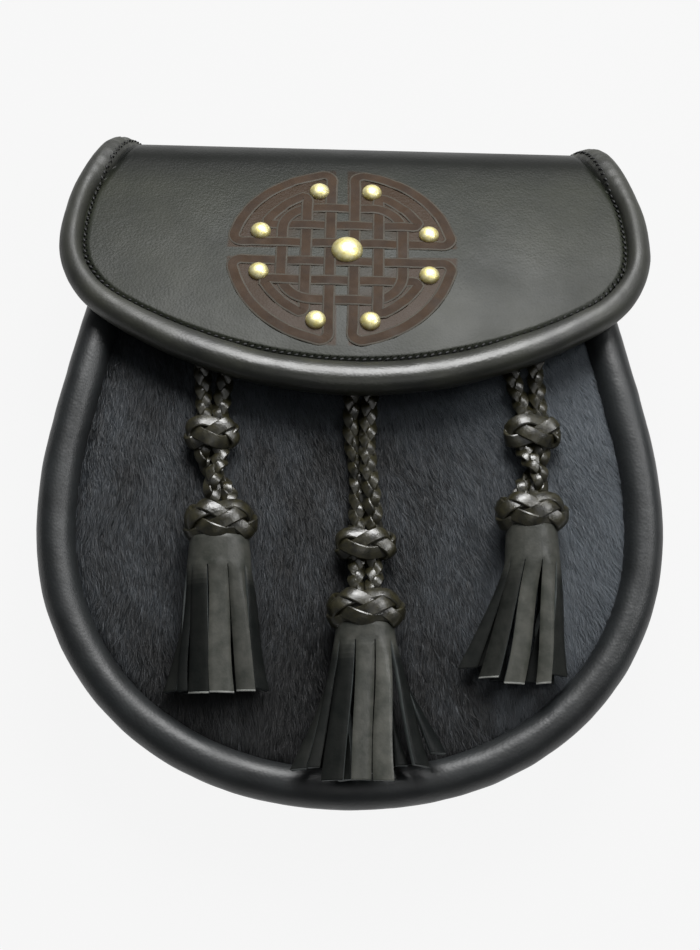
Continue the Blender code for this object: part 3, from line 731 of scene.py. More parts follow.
def camera():
    """Stands where the photograph was taken from, turned so that the pouch hangs upright in the picture."""
    elevation, azimuth = math.radians(CAMERA_ELEVATION_DEG), math.radians(CAMERA_AZIMUTH_DEG)
    back = Vector((math.sin(azimuth) * math.cos(elevation), -math.cos(azimuth) * math.cos(elevation),
                   math.sin(elevation)))
    level = Vector((math.cos(azimuth), math.sin(azimuth), 0.0))
    above = back.cross(level)
    roll = math.atan2(level.y, above.y)
    right = math.cos(roll) * level - math.sin(roll) * above
    up = math.sin(roll) * level + math.cos(roll) * above
    bpy.ops.object.camera_add()
    made = bpy.context.object
    place = Matrix((right, up, back)).transposed().to_4x4()
    place.translation = (Vector(CAMERA_TARGET) + back * CAMERA_DISTANCE) * MM
    made.matrix_world = place
    made.data.lens = CAMERA_LENS
    made.data.clip_start = 0.01
    bpy.context.scene.camera = made


def softbox(name, towards, distance, size, power):
    """A square lamp with a cloth front, on a line from the pouch, facing it."""
    direction = Vector(towards).normalized()
    bpy.ops.object.light_add(type="AREA", location=Vector(LIT_POINT) + direction * distance)
    lamp = bpy.context.object
    lamp.name = name
    lamp.rotation_euler = direction.to_track_quat("Z", "Y").to_euler()
    lamp.data.shape = "SQUARE"
    lamp.data.size = size
    lamp.data.energy = power


def studio():
    """A light table under the pouch, a softbox overhead past the ridge, a smaller one at the right, a weak fill."""
    scene = bpy.context.scene
    scene.view_settings.view_transform = "Standard"
    world = bpy.data.worlds.new("dim_room")
    world.use_nodes = True
    set_sockets(world.node_tree, world.node_tree.nodes["Background"], {"Color": "#e8ecef", "Strength": 0.12})
    scene.world = world
    for row in SOFTBOXES:
        softbox(*row)
    bpy.ops.mesh.primitive_plane_add(size=6.0)
    floor = bpy.context.object
    floor.name = "light_table"
    sheet, tree, shader, place = start_material("lit_opal_sheet")
    reach = add_node(tree, "ShaderNodeVectorMath", {}, {0: place}, operation="LENGTH")
    glow = add_node(tree, "ShaderNodeMapRange", {"From Min": 0.21, "From Max": 0.50, "To Min": 1.0, "To Max": 0.25},
                    {"Value": reach}, interpolation_type="SMOOTHSTEP")
    set_sockets(tree, shader, {"Emission Color": "#f4f4f4", "Base Color": "#202020", "Specular IOR Level": 0.1,
                               "Roughness": 0.9}, {"Emission Strength": glow})
    floor.data.materials.append(sheet)


# Braided tassels

LACES = 3
BRAID_STEP = 0.5         # along the braid, between rings of points
LACE_SECTION = (         # across and out, in shares of the lace's width and thickness
    (0.5, -0.1), (0.5, 0.2), (0.43, 0.38), (0.15, 0.5), (-0.15, 0.5), (-0.43, 0.38), (-0.5, 0.2), (-0.5, -0.1),
    (-0.4, -0.45), (0.4, -0.45),
)
# Shares of the braid's diameter
LACE_WIDTH = 0.62
LACE_THICKNESS = 0.27
PLAIT_SWING = 0.32
PLAIT_DEPTH = 0.22
BRAID_PITCH = 3.5        # one turn of a lace, in diameters
LACE_ROLL = 0.30         # how far a lace rolls about its own line, at random, in radians
ROLL_STEP = 3.0          # from one random roll to the next
ROLL_SWING = 0.5         # how much wider a rolled lace swings
SWING_LEAN = 0.55        # how far a lace leans out at the end of its swing
PLAIT_TURN = 0.6         # where a leg's plait starts, in radians, the other way on the other leg
PLAIT_SMOOTH_DEG = 32


def carried_frames(route, up):
    """Along, side and up at each point of a route, with up carried on without twisting."""
    frames = []
    for index in range(len(route)):
        along = (route[min(index + 1, len(route) - 1)] - route[max(index - 1, 0)]).normalized()
        side = along.cross(up).normalized()
        up = side.cross(along).normalized()
        frames.append((along, side, up))
    return frames


def swept_lace(centres, outs, width, thickness, closed=False):
    """A flat lace with rounded edges along its centres; outs point away from what it lies on."""
    count = len(centres)
    points = []
    for index in range(count):
        if closed:
            before, after = centres[index - 1], centres[(index + 1) % count]
        else:
            before, after = centres[max(index - 1, 0)], centres[min(index + 1, count - 1)]
        along = (after - before).normalized()
        side = along.cross(outs[index]).normalized()
        out = side.cross(along)
        for across, height in LACE_SECTION:
            points.append(centres[index] + across * width * side + height * thickness * out)
    return points, ring_faces(count, len(LACE_SECTION), closed)


def braid(route, diameter, start_turn):
    """Three flat laces plaited along a line: each swings from side to side, over and under by turns."""
    length = run_lengths(route)[-1]
    fine = smooth_route(route, round(length / BRAID_STEP))
    frames = carried_frames(fine, Vector((0, 0, 1)))
    step = length / (len(fine) - 1)
    rng = np.random.default_rng(int(length * 100))
    marks = np.arange(0, length + 2 * ROLL_STEP, ROLL_STEP)
    shapes = []
    for lace in range(LACES):
        rolls = np.interp(np.arange(len(fine)) * step, marks, rng.uniform(-LACE_ROLL, LACE_ROLL, len(marks)))
        centres, outs = [], []
        for index, (centre, (_, side, above)) in enumerate(zip(fine, frames)):
            wave = 2 * math.pi * (index * step / (BRAID_PITCH * diameter) + lace / LACES) + start_turn
            level = -math.sin(2 * wave)
            roll = float(rolls[index])
            swing = PLAIT_SWING * (1 + ROLL_SWING * roll)
            centres.append(centre + diameter * (swing * math.sin(wave) * side + PLAIT_DEPTH * level * above))
            outs.append((above + (SWING_LEAN * math.sin(wave) + roll) * side).normalized())
        shapes.append(swept_lace(centres, outs, LACE_WIDTH * diameter, LACE_THICKNESS * diameter))
    return join_shapes(shapes)


def leg_route(line, side):
    """One leg of a pair that turns about its middle line."""
    route = []
    for x, s, h, spread, turn_deg in line:
        turn, reach = math.radians(turn_deg), side * spread
        route.append(level_front_point(x + reach * math.cos(turn), s, h + reach * math.sin(turn), x))
    return route


BARREL_SHRINK = 0.34     # how much slimmer a knot is at its ends, and how late it narrows
BARREL_POWER = 2.6
RING_STEPS = 72          # for one lead round the barrel
RING_WEAVE = 0.48        # how far the lace rises and dips, in shares of its thickness
RING_MARGIN = 0.36       # of the lace's width, beyond the barrel's ends
CORE_SIDES = 24
CORE_STATIONS = (-0.5, -0.42, -0.3, 0.0, 0.3, 0.42, 0.5)
CORE_SHORTER = 1.6
CORE_DEPTH = 1.3         # under the knot's skin, in thicknesses of the lace
# Leads, bights, the lace's width and thickness, where the plait starts and how far it is turned
TURKS_HEAD = (4, 5, 4.2, 1.7, 0.4, 0.3)
SLIDER = {
    "left": (3, 4, 4.2, 1.6, 0.3, 0.9), "centre": (3, 4, 4.0, 1.6, 1.1, 0.2), "right": (3, 4, 4.2, 1.6, 2.2, 0.5),
}


def on_barrel(middle, size, turn, shift, inset):
    """A point under the skin of a barrel-shaped knot, and the way out of it."""
    across, along, up = size
    x, s, h = middle

    def skin(a, b):
        shrink = 1 - BARREL_SHRINK * abs(2 * b / along) ** BARREL_POWER
        return level_front_point(x + across / 2 * shrink * math.cos(a), s + b, h + up / 2 * shrink * math.sin(a), x)

    here = skin(turn, shift)
    round_it = skin(turn + 0.02, shift) - skin(turn - 0.02, shift)
    along_it = skin(turn, shift + 0.1) - skin(turn, shift - 0.1)
    out = round_it.cross(along_it).normalized()
    if out.dot(here - level_front_point(x, s + shift, h, x)) < 0:
        out.negate()
    return here - inset * out, out


def plaited_ring(middle, size, leads, bights, width, thickness, phase, lean):
    """A turk's head: one plump lace led several times round the barrel, plaited over and under itself."""
    along = size[1]
    weave = thickness * RING_WEAVE
    swing = along / 2 - width * RING_MARGIN
    steps = leads * RING_STEPS
    centres, outs = [], []
    for index in range(steps):
        turn = leads * 2 * math.pi * index / steps
        wave = bights * turn / leads + phase
        level = weave * math.sin((leads - 1) * (wave + math.pi / 2))
        centre, out = on_barrel(middle, size, turn + lean, swing * math.sin(wave), thickness / 2 + weave - level)
        centres.append(centre)
        outs.append(out)
    core = [on_barrel(middle, size, 2 * math.pi * k / CORE_SIDES, share * (along - CORE_SHORTER),
                      CORE_DEPTH * thickness)[0] for share in CORE_STATIONS for k in range(CORE_SIDES)]
    return join_shapes([swept_lace(centres, outs, width, thickness, closed=True),
                        (core, ring_faces(len(CORE_STATIONS), CORE_SIDES))])


STRIPS = 10
SLIT_FROM = 0.95         # of each strip's pitch; the rest is the slit beside it
STRIP_COLUMNS = 5        # the last one is the slit
SKIRT_ROWS = 34
STRIP_LEATHER = 1.4
SKIRT_IN_KNOT = 2.0      # how far its top goes up into the knot
SKIRT_SPREAD = 0.08      # how much wider and flatter it is where the slits start
SKIRT_FLATTEN = 0.06
WHOLE_TONE = 0.7         # of the leather's grey, above the slits
TONE_FADE = 0.25         # in shares of half the skirt's length
STRIP_LIGHT_AND_SHADE = {          # how much of the leather's grey shows, strip by strip: painted light and shade, a few strips on top lighter and the rest darker
    "left": (0.1, 0.15, 0.9, 0.7, 0.1, 0.05, 0.1, 0.15, 0.05, 0.2),
    "centre": (0.15, 0.15, 0.8, 1.0, 0.1, 0.05, 0.1, 0.1, 0.15, 0.2),
    "right": (0.15, 0.3, 1.0, 1.0, 0.2, 0.15, 0.1, 0.15, 0.05, 0.2),
}
PALE_ENDS = {"left": (1, 2, 3), "centre": (), "right": (1, 2, 3)}
PALE_END = 0.5           # how far up from its cut end a strip is rubbed pale
STRIP_TILT = 1.3         # across each strip on top, this way and that by turns
STRIP_CROWN = 0.30       # a strip's middle over its edges
STRIP_WAVE = 0.35        # how far it waves, up and down and to the sides, at random
STRIP_CROOKED = 0.25     # how crooked it hangs, at random
STRIP_FAN = (1.12, 0.92)  # how late the strips leave the skirt's round, across and in height
FAN_CHANCE = 0.1         # how much each strip differs from that, at random
STRIP_BEVEL = 0.18
SKIRT_FINISHES = ("skirt", "cut edge", "strip side")
# A strip's free end: left and right edge across and their heights, from the skirt's own end, and how much
# shorter it is. From the left over the top to the right, then back underneath
STRIP_ENDS = {
    "left": (
        (-11.6, -8.6, 0.4, 2.2, 0.6), (-8.4, -2.2, 2.0, 2.9, 0.0), (-2.0, 5.1, 3.2, 3.0, 0.0),
        (5.7, 11.3, 3.0, 2.0, 0.6), (10.9, 15.2, 1.4, -0.8, 1.6), (5.0, 10.6, -1.8, -1.8, 2.0),
        (0.0, 5.0, -2.0, -2.0, 1.0), (-5.0, 0.0, -2.0, -2.0, 1.6), (-10.0, -5.0, -2.0, -2.0, 0.8),
        (-16.0, -12.0, -2.2, 0.2, 1.0),
    ),
    "centre": (
        (-17.2, -13.6, 0.6, 2.0, 3.8), (-13.3, -7.0, 2.4, 3.0, 0.0), (-4.6, 1.2, 3.2, 3.2, 0.0),
        (1.6, 7.7, 3.2, 3.0, 0.0), (13.6, 18.2, 2.4, 0.0, 4.6), (18.4, 23.0, 0.6, -1.6, 8.4),
        (8.2, 12.0, -1.2, -1.4, 4.8), (-2.0, 3.4, -2.0, -2.0, 3.0), (-8.6, -4.2, -0.6, 1.6, 0.4),
        (-22.2, -17.6, -1.4, 0.4, 3.6),
    ),
    "right": (
        (-19.6, -13.9, -0.4, 1.6, 5.0), (-13.5, -7.8, 1.4, 2.6, 2.0), (-6.3, -0.2, 3.2, 3.2, 0.0),
        (3.2, 7.6, 3.0, 2.6, 0.0), (8.0, 13.0, 2.0, -0.4, 3.0), (4.6, 9.0, -1.8, -1.8, 1.0),
        (-0.4, 4.4, -1.0, -1.0, 1.4), (-5.2, -0.6, -2.0, -2.0, 1.0), (-10.0, -5.4, -2.0, -2.0, 2.0),
        (-16.0, -11.0, -2.2, -1.6, 6.0),
    ),
}


def skirt(row):
    """A rolled piece of leather: whole at the knot, then slit into strips that fan out over the fur."""
    name = row["name"]
    x, knot_s, h = row["knot"]
    end_x, end_s, end_h = row["skirt_end"]
    width, depth = row["skirt_top"]
    top_s = knot_s - row["knot_size"][1] / 2 + SKIRT_IN_KNOT
    slit_s = end_s + row["slit_length"]
    whole = top_s - slit_s
    strip_length = slit_s - end_s
    wander = np.random.default_rng(len(name)).uniform(-1, 1, (STRIPS, 3))

    piece = new_grid(STRIPS * STRIP_COLUMNS, SKIRT_ROWS)
    pitch = 2 / (STRIPS * STRIP_COLUMNS)
    slit_from_y = 1 - 2 * round(SKIRT_ROWS * whole / (whole + strip_length)) / SKIRT_ROWS
    last_row = -1 + 2 / SKIRT_ROWS

    def in_slit(co):
        return int((co.x + 1) / pitch) % STRIP_COLUMNS == STRIP_COLUMNS - 1 and co.y < slit_from_y

    edit(piece)
    pick(piece, in_slit, "FACE")
    bpy.ops.mesh.delete(type="FACE")
    edit_done()
    # Painted light and shade, strip by strip, fading in below the slits from the whole part's tone.
    tones = []
    for face in piece.data.polygons:
        strip = int((face.center.x + 1) / pitch) // STRIP_COLUMNS
        face.material_index = int(face.center.y < last_row and strip in PALE_ENDS[name])
        share = max(0.0, min(1.0, (slit_from_y - face.center.y) / TONE_FADE))
        tones.append(WHOLE_TONE + (STRIP_LIGHT_AND_SHADE[name][strip] - WHOLE_TONE) * share)
    piece.data.attributes.new("tone_with_painted_light", "FLOAT", "FACE").data.foreach_set("value", tones)

    def place(flat_x, flat_y, _):
        if abs(flat_y - last_row) < 1e-4:
            flat_y = -1 + PALE_END / strip_length * (slit_from_y + 1)
        column = round((flat_x + 1) / pitch)
        strip = min(column // STRIP_COLUMNS, STRIPS - 1)
        local = min((column - strip * STRIP_COLUMNS) * SLIT_FROM / (STRIP_COLUMNS - 1), 1.0)
        turn = math.pi - 2 * math.pi * (strip + local) / STRIPS
        share = min(1.0, (1 - flat_y) / (1 - slit_from_y))
        top_x = x + width / 2 * (1 + SKIRT_SPREAD * share) * math.cos(turn)
        top_h = h + depth / 2 * (1 - SKIRT_FLATTEN * share) * math.sin(turn)
        if flat_y >= slit_from_y:
            return level_front_point(top_x, top_s - whole * share, top_h, x)
        share = (slit_from_y - flat_y) / (slit_from_y + 1)
        left, right, left_h, right_h, shorter = STRIP_ENDS[name][strip]
        across = local / SLIT_FROM
        to_x = end_x + left + (right - left) * across
        to_h = end_h + left_h + (right_h - left_h) * across
        px = top_x + (to_x - top_x) * share ** (STRIP_FAN[0] + FAN_CHANCE * wander[strip, 0])
        px += STRIP_WAVE * wander[strip, 2] * math.sin(2 * math.pi * share)
        ph = top_h + (to_h - top_h) * share ** STRIP_FAN[1]
        ph += STRIP_CROWN * math.sin(math.pi * across) + STRIP_WAVE * wander[strip, 1] * math.sin(math.pi * share)
        if strip < STRIPS / 2:
            ph += STRIP_TILT * (across - 0.5) * (1 if strip % 2 else -1) * min(1.0, 3 * share)
        ps = slit_s - (strip_length - shorter) * share + STRIP_CROOKED * wander[strip, 0] * across * share
        return level_front_point(px, ps, ph, x)

    form(piece, place)
    edit(piece)
    bpy.ops.mesh.remove_doubles(threshold=0.02 * MM)
    edit_done()
    for finish in SKIRT_FINISHES:
        piece.data.materials.append(FINISH[finish])
    side = SKIRT_FINISHES.index("strip side")
    wall(piece, STRIP_LEATHER, rim_material=side)
    round_edges(piece, STRIP_BEVEL, segments=1, angle_deg=60, material=side)
    return dress(piece, name + "_tassel", "skirt", name + "_tassel_skirt", smooth_deg=50)


def tassel(row):
    """Two braided legs through a sliding knot into a turk's head, and the strips under it."""
    name = row["name"]
    knot = mesh_piece(*plaited_ring(row["knot"], row["knot_size"], *TURKS_HEAD))
    dress(knot, name + "_turks_head_plait", "braid", name + "_turks_head", smooth_deg=PLAIT_SMOOTH_DEG)
    slider = mesh_piece(*plaited_ring(row["slider"], row["slider_size"], *SLIDER[name]))
    dress(slider, name + "_slider_wrap", "braid", name + "_slider_knot", smooth_deg=PLAIT_SMOOTH_DEG)
    strips = skirt(row)
    for letter, side in (("a", -1), ("b", 1)):
        node = "%s_cord_%s" % (name, letter)
        line = leg_route(row["line"], side)
        route = smooth_route(line, CORD_POINTS)
        leg = mesh_piece(*braid(route, CORD, PLAIT_TURN * side))
        dress(leg, node.replace("cord", "braided_leg"), "braid", node, smooth_deg=PLAIT_SMOOTH_DEG)
        path = smooth_route(line, PATH_POINTS)


# Pouch body

STITCH = (1.9, 0.85, 0.65)  # length, width and height of a stitch
STITCH_SLANT_DEG = 24.0
STITCH_PITCH = 2.3
STITCH_SINK = 0.15       # of a row of stitches in flat leather
DOWN = Vector((0, 0, -1))
ROLL_FACETS = 8          # in each half of a roll's round, less the two at its ends
ROLL_PIECES = (90, 60)   # of the body's outline, below and above its widest place
PANEL_PIECES = (60, 40)
LUMP_SIZE = 11.0
LUMP_HEIGHT = 0.45


def padded_roll(route, radii, place):
    """Leather drawn round a cord of padding: a round curve along its line, made a mesh and bent into its place."""
    bpy.ops.object.select_all(action="DESELECT")
    bpy.ops.curve.primitive_nurbs_path_add()
    roll = bpy.context.object
    line = roll.data
    line.splines.clear()
    run = line.splines.new("POLY")
    run.points.add(len(route) - 1)
    for point, spot, radius in zip(run.points, route, radii):
        point.co = (*spot, 1.0)
        point.radius = radius
    line.bevel_depth = 1.0
    line.bevel_resolution = ROLL_FACETS
    line.use_fill_caps = True
    bpy.ops.object.convert(target="MESH")
    face_outwards(roll, merge=0.01)
    form(roll, place)
    lumps = bpy.data.textures.get("padding_lumps") or bpy.data.textures.new("padding_lumps", "CLOUDS")
    lumps.noise_scale = LUMP_SIZE * MM
    add_modifier(roll, "DISPLACE", texture=lumps, texture_coords="LOCAL", strength=LUMP_HEIGHT * MM, mid_level=0.5)
    return roll


def one_stitch():
    """Points and faces of one stitch lying along X, in millimetres."""
    bpy.ops.object.select_all(action="DESELECT")
    bpy.ops.mesh.primitive_uv_sphere_add(segments=6, ring_count=4, radius=0.5)
    ball = bpy.context.object
    ball.scale = STITCH
    bpy.ops.object.transform_apply(location=False, rotation=False, scale=True)
    put_in_order(ball)
    points = [vertex.co.copy() for vertex in ball.data.vertices]
    faces = [tuple(face.vertices) for face in ball.data.polygons]
    bpy.data.objects.remove(ball)
    return points, faces


STITCH_SHAPE = one_stitch()


def stitched_run(name, run, outs, finish="thread", size=1.0, first=0.5):
    """One stitch after another along a run of points; outs point away from the leather."""
    length = run_lengths(run)[-1]
    count = int(length / STITCH_PITCH)
    points, faces = STITCH_SHAPE
    shapes = []
    for middle, k in spaced(run, [(index + first) * length / count for index in range(count)]):
        along = Matrix.Rotation(math.radians(STITCH_SLANT_DEG), 3, outs[k]) @ (run[k + 1] - run[k]).normalized()
        side = outs[k].cross(along).normalized()
        out = along.cross(side)
        shapes.append(([middle + size * (p.x * along + p.y * side + p.z * out) for p in points], faces))
    dress(mesh_piece(*join_shapes(shapes)), name, finish, smooth_deg=80)


def front_roll():
    """The padded roll round the front."""
    route = [(x, *front_profile(s)[:2]) for x, s, _, _ in whole_outline(body_outline(*ROLL_PIECES))]
    roll = padded_roll(route, [ROLL_RADIUS] * len(route), lambda x, y, z: (x, y, z))
    dress(roll, "front_roll", "roll", "front_piping")


HIDE_TUCK = 3.4          # the hide's edge runs this far in from the roll's axis, under its curve
HIDE_SINK = 2.6          # how far it is pulled down there
HIDE_SINK_WIDTH = 3.2
HIDE_COLUMNS = 64
HAIR_LENGTH = (3.4, 6.2)
HAIR_WIDTH = (0.09, 0.18)
HAIR_LIFT_DEG = (7.0, 17.0)
HAIR_LEAN_DEG = 24.0     # towards the right, on the upper and the right part of the front
HAIR_COUNT = 56000       # in each of the layers
HAIR_LAYERS = 4
HAIR_FROM_Y = 52.0       # no hair past this, deep under the flap
HAIR_POINTS = 5          # two at the root, two at the bend, one at the tip
HAIR_FACES = ((0, 1, 2), (0, 2, 3), (3, 2, 4))
HAIR_TAPER = 0.8         # its width at the bend, in shares of that at its root
HAIR_BEND = 0.35         # share of its lift that is left past the bend
HAIR_TIP = 0.6           # and of its rise there
LEAST_LIFT_DEG = 1.0
CLUMP_SIZE = 3.2
CLUMP_LIFT_DEG = 3.0     # how much more a hair lifts in the middle of a clump
PARTING_SIZE = 26.0      # the hair parts and meets in wide waves and in small tufts
PARTING_DEG = 8
TUFT_SIZE = 4.0
TUFT_DEG = 10
STRAY_DEG = 11           # how far each hair strays by itself, at random
BLADE_TURN = 0.7         # how far a blade is turned about its own line, at random, in radians
SWIRL_WAVES = 7
SWIRL_HEIGHT = 3.2       # about the most that so many waves add up to
LEG_PRESSES = 5.0        # how far from its line a tassel presses the hair flat: its legs, its knot, its skirt
KNOT_PRESSES = 10.5
SKIRT_PRESSES = (9.5, 15.5)
PRESSED_FADE = 2.5
PRESSED_SHARE = 0.9      # of its lift that a hair under a tassel loses


def hide():
    """The hide under the hair, stuffed a little proud in its middle."""
    half = body_outline(*PANEL_PIECES)
    rows = [(x - HIDE_TUCK * nx, s - HIDE_TUCK * ns) for x, s, nx, ns in half[1:]]
    piece = drawn_sheet(rows, HIDE_COLUMNS)
    crowd_to_edges(piece, rows)
    nearest = near_run([(x, s) for x, s, _, _ in whole_outline(half)])

    def place(x, s, _):
        from_edge = nearest(x, s)[0] - HIDE_TUCK
        return front_point(x, s, -HIDE_SINK * math.exp(-(from_edge / HIDE_SINK_WIDTH) ** 2))

    form(piece, place)
    return piece


def swirl(x, y, size_mm, seed):
    """Smooth wandering value between -1 and 1, a few waves laid over each other."""
    rng = np.random.default_rng(seed)
    total = np.zeros_like(x)
    for _ in range(SWIRL_WAVES):
        angle, shift = rng.uniform(0, 2 * math.pi, 2)
        size = size_mm * MM * rng.uniform(0.7, 1.5)
        total += np.sin((x * math.cos(angle) + y * math.sin(angle)) * 2 * math.pi / size + shift)
    return total / SWIRL_HEIGHT


def pressed_flat(x, y):
    """1 where a tassel lies on the hair, falling to 0 beside it; x and y in metres, as in all that follows."""
    x, y = x / MM, y / MM
    pressed = np.zeros_like(x)
    for row in TASSELS:
        line = [(point[0], front_profile(point[1])[0], LEG_PRESSES) for point in row["line"]]
        knot_x, knot_s, _ = row["knot"]
        end_x, end_s, _ = row["skirt_end"]
        line.append((knot_x, front_profile(knot_s)[0], KNOT_PRESSES))
        for share in (0.25, 0.5, 0.75, 1.0):
            line.append((knot_x + (end_x - knot_x) * share, front_profile(knot_s + (end_s - knot_s) * share)[0],
                         SKIRT_PRESSES[0] + (SKIRT_PRESSES[1] - SKIRT_PRESSES[0]) * share))
        for (ax, ay, aw), (bx, by, bw) in zip(line, line[1:]):
            step = np.array((bx - ax, by - ay))
            share = np.clip(((x - ax) * step[0] + (y - ay) * step[1]) / (step ** 2).sum(), 0, 1)
            distance = np.hypot(x - ax - share * step[0], y - ay - share * step[1])
            reach = aw + (bw - aw) * share
            pressed = np.maximum(pressed, np.clip(1 - (distance - reach) / PRESSED_FADE, 0, 1))
    return pressed


def hair_roots(skin, rng):
    """Places strewn evenly over the hide's upper face, and the way out of it at each."""
    mesh = skin.data
    mesh.calc_loop_triangles()
    corners = np.array([vertex.co for vertex in mesh.vertices], float)
    triangles = np.array([tri.vertices for tri in mesh.loop_triangles])
    a, b, c = (corners[triangles[:, k]] for k in range(3))
    cross = np.cross(b - a, c - a)
    area = np.linalg.norm(cross, axis=1)
    area[(a[:, 1] > HAIR_FROM_Y * MM) | (cross[:, 2] <= 0)] = 0
    chosen = rng.choice(len(area), HAIR_COUNT, p=area / area.sum())
    p, q = rng.random((2, HAIR_COUNT, 1))
    fold = p + q > 1
    p, q = np.where(fold, 1 - p, p), np.where(fold, 1 - q, q)
    return a[chosen] * (1 - p - q) + b[chosen] * p + c[chosen] * q, cross[chosen] / area[chosen][:, None]


def combed(x, y, normal, rng):
    """The way each hair lies on the hide: down, leaning to the right, in tufts that part and meet."""
    lean = HAIR_LEAN_DEG * np.clip(0.45 + x / 0.12 + (y + 0.03) / 0.16, 0.0, 1.0)
    lean += (PARTING_DEG * swirl(x, y, PARTING_SIZE, 5) + TUFT_DEG * swirl(x, y, TUFT_SIZE, 6)
             + rng.normal(0, STRAY_DEG, HAIR_COUNT))
    lean = np.radians(lean)
    comb = np.stack([np.sin(lean), -np.cos(lean), np.zeros(HAIR_COUNT)], 1)
    comb -= (comb * normal).sum(1)[:, None] * normal
    return comb / np.linalg.norm(comb, axis=1)[:, None]


def coat_tones_and_painted_light(x, y, clump, rng):
    """From blue-black to grey. Painted light: greyer to the right, left of the middle and just under the flap;
    painted shade: darker at the bottom; the clumps, swirls and strays are the hair's own.
    """
    # Painted light: greyer towards the right, and a little greyer left of the middle.
    coat = 0.01 + 0.95 * np.clip(x / 0.078, 0, 1) ** 1.3 - 0.19 * np.clip(x / 0.04, -1, 0)
    # Painted light in the flap's shadow: greyer just under its edge, but for the left side.
    coat += 0.42 * np.clip((y + 0.007) / 0.018, 0, 1) * np.clip((x + 0.055) / 0.03, 0, 1)
    # Painted shade: darker towards the bottom.
    coat -= 0.30 * np.clip((-0.05 - y) / 0.03, 0, 1)
    return np.clip(coat + 0.14 * clump + 0.10 * swirl(x, y, 14.0, 3) + rng.normal(0, 0.10, HAIR_COUNT), 0, 1)


def hair_layer(skin, layer):
    """One layer of hairs, each a thin bent blade of three triangles, combed downwards."""
    rng = np.random.default_rng(40 + layer)
    root, normal = hair_roots(skin, rng)
    x, y = root[:, 0], root[:, 1]
    comb = combed(x, y, normal, rng)
    length = rng.uniform(*HAIR_LENGTH, HAIR_COUNT)[:, None] * MM
    clump = swirl(x, y, CLUMP_SIZE, 8 + layer)
    lift = np.radians(rng.uniform(*HAIR_LIFT_DEG, HAIR_COUNT) + CLUMP_LIFT_DEG * clump)
    lift *= 1 - PRESSED_SHARE * pressed_flat(x, y)
    lift = np.maximum(lift, math.radians(LEAST_LIFT_DEG))[:, None]
    turn = rng.uniform(-BLADE_TURN, BLADE_TURN, HAIR_COUNT)[:, None]
    side = np.cross(comb, normal) * np.cos(turn) + normal * np.sin(turn)
    side *= rng.uniform(*HAIR_WIDTH, HAIR_COUNT)[:, None] * MM / 2
    middle = root + 0.5 * length * (comb * np.cos(lift) + normal * np.sin(lift))
    tip = middle + 0.5 * length * (comb * np.cos(lift * HAIR_BEND) + normal * np.sin(lift * HAIR_BEND) * HAIR_TIP)
    points = np.stack([root - side, root + side, middle + side * HAIR_TAPER, middle - side * HAIR_TAPER, tip], 1)
    points = points.reshape(-1, 3)
    base = np.arange(HAIR_COUNT)[:, None] * HAIR_POINTS
    faces = np.concatenate([base + face for face in HAIR_FACES], 1).reshape(-1, 3)

    made = bpy.data.meshes.new("hair")
    made.vertices.add(len(points))
    made.vertices.foreach_set("co", points.astype(np.float32).ravel())
    made.loops.add(faces.size)
    made.loops.foreach_set("vertex_index", faces.astype(np.int32).ravel())
    made.polygons.add(len(faces))
    made.polygons.foreach_set("loop_start", np.arange(0, faces.size, 3, dtype=np.int32))
    made.update(calc_edges=True)
    tone_with_painted_light = np.repeat(coat_tones_and_painted_light(x, y, clump, rng), HAIR_POINTS).astype(np.float32)
    made.attributes.new("tone_with_painted_light", "FLOAT", "POINT").data.foreach_set("value", tone_with_painted_light)
    piece = bpy.data.objects.new("hair", made)
    bpy.context.collection.objects.link(piece)
    dress(piece, "hair_layer_%d" % (layer + 1), "fur", smooth_deg=80)


def front():
    """The hide with its layers of hair."""
    skin = hide()
    for layer in range(HAIR_LAYERS):
        hair_layer(skin, layer)
    wall(skin, HIDE)
    dress(skin, "hide_skin", "skin", "front_panel")


GUSSET_PIECES = (80, 50)
GUSSET_ROWS = 10
GUSSET_TOP_INSET = 0.8
GUSSET_TOP_DEPTH = 0.8   # below the roll's axis, in shares of its radius
GUSSET_BELLY = 1.2
GUSSET_PUCKER = 0.28
PUCKER_STEP = 1.9        # in radians, from one station of the outline to the next
GUSSET_SLOPE = 0.3       # of the way out of its stitches, towards the floor
GUSSET_STITCHES = (("gusset_foot_stitches", 0.16), ("gusset_top_stitches", 0.72))    # name, share of the height


def gusset():
    """The side of the pouch: it leans in to the back, bellies out a little and puckers at its stitches."""
    outline = whole_outline(body_outline(*GUSSET_PIECES))
    last = len(outline) - 1

    def edge_point(station, share, out=0.0):
        x, s, nx, ns = outline[station]
        y, z, _ = front_profile(s)
        foot_x, foot_y = x - GUSSET_FOOT_INSET * nx, y - GUSSET_FOOT_INSET * ns
        foot_z = back_face_z(foot_y) + BACK_LEATHER
        top_x, top_y = x - GUSSET_TOP_INSET * nx, y - GUSSET_TOP_INSET * ns
        pucker = GUSSET_PUCKER * math.sin(station * PUCKER_STEP) * (1 - share) ** 3
        belly = GUSSET_BELLY * math.sin(math.pi * share) + pucker + out
        top_z = z - ROLL_RADIUS * GUSSET_TOP_DEPTH
        return Vector((foot_x + (top_x - foot_x) * share + belly * nx,
                       foot_y + (top_y - foot_y) * share + belly * ns, foot_z + (top_z - foot_z) * share))

    piece = new_grid(last, GUSSET_ROWS)
    form(piece, lambda a, b, _: edge_point(round((a + 1) / 2 * last), (b + 1) / 2))
    wall(piece, GUSSET_LEATHER)
    dress(piece, "gusset_leather", "back", "gusset")
    outs = [Vector((nx, ns, -GUSSET_SLOPE)).normalized() for _, _, nx, ns in outline]
    for name, share in GUSSET_STITCHES:
        stitched_run(name, [edge_point(k, share, STITCH_SINK) for k in range(len(outline))], outs)


BACK_SEAM_INSET = 3.0
BACK_EDGE = 0.7          # how far its cut edge is rounded


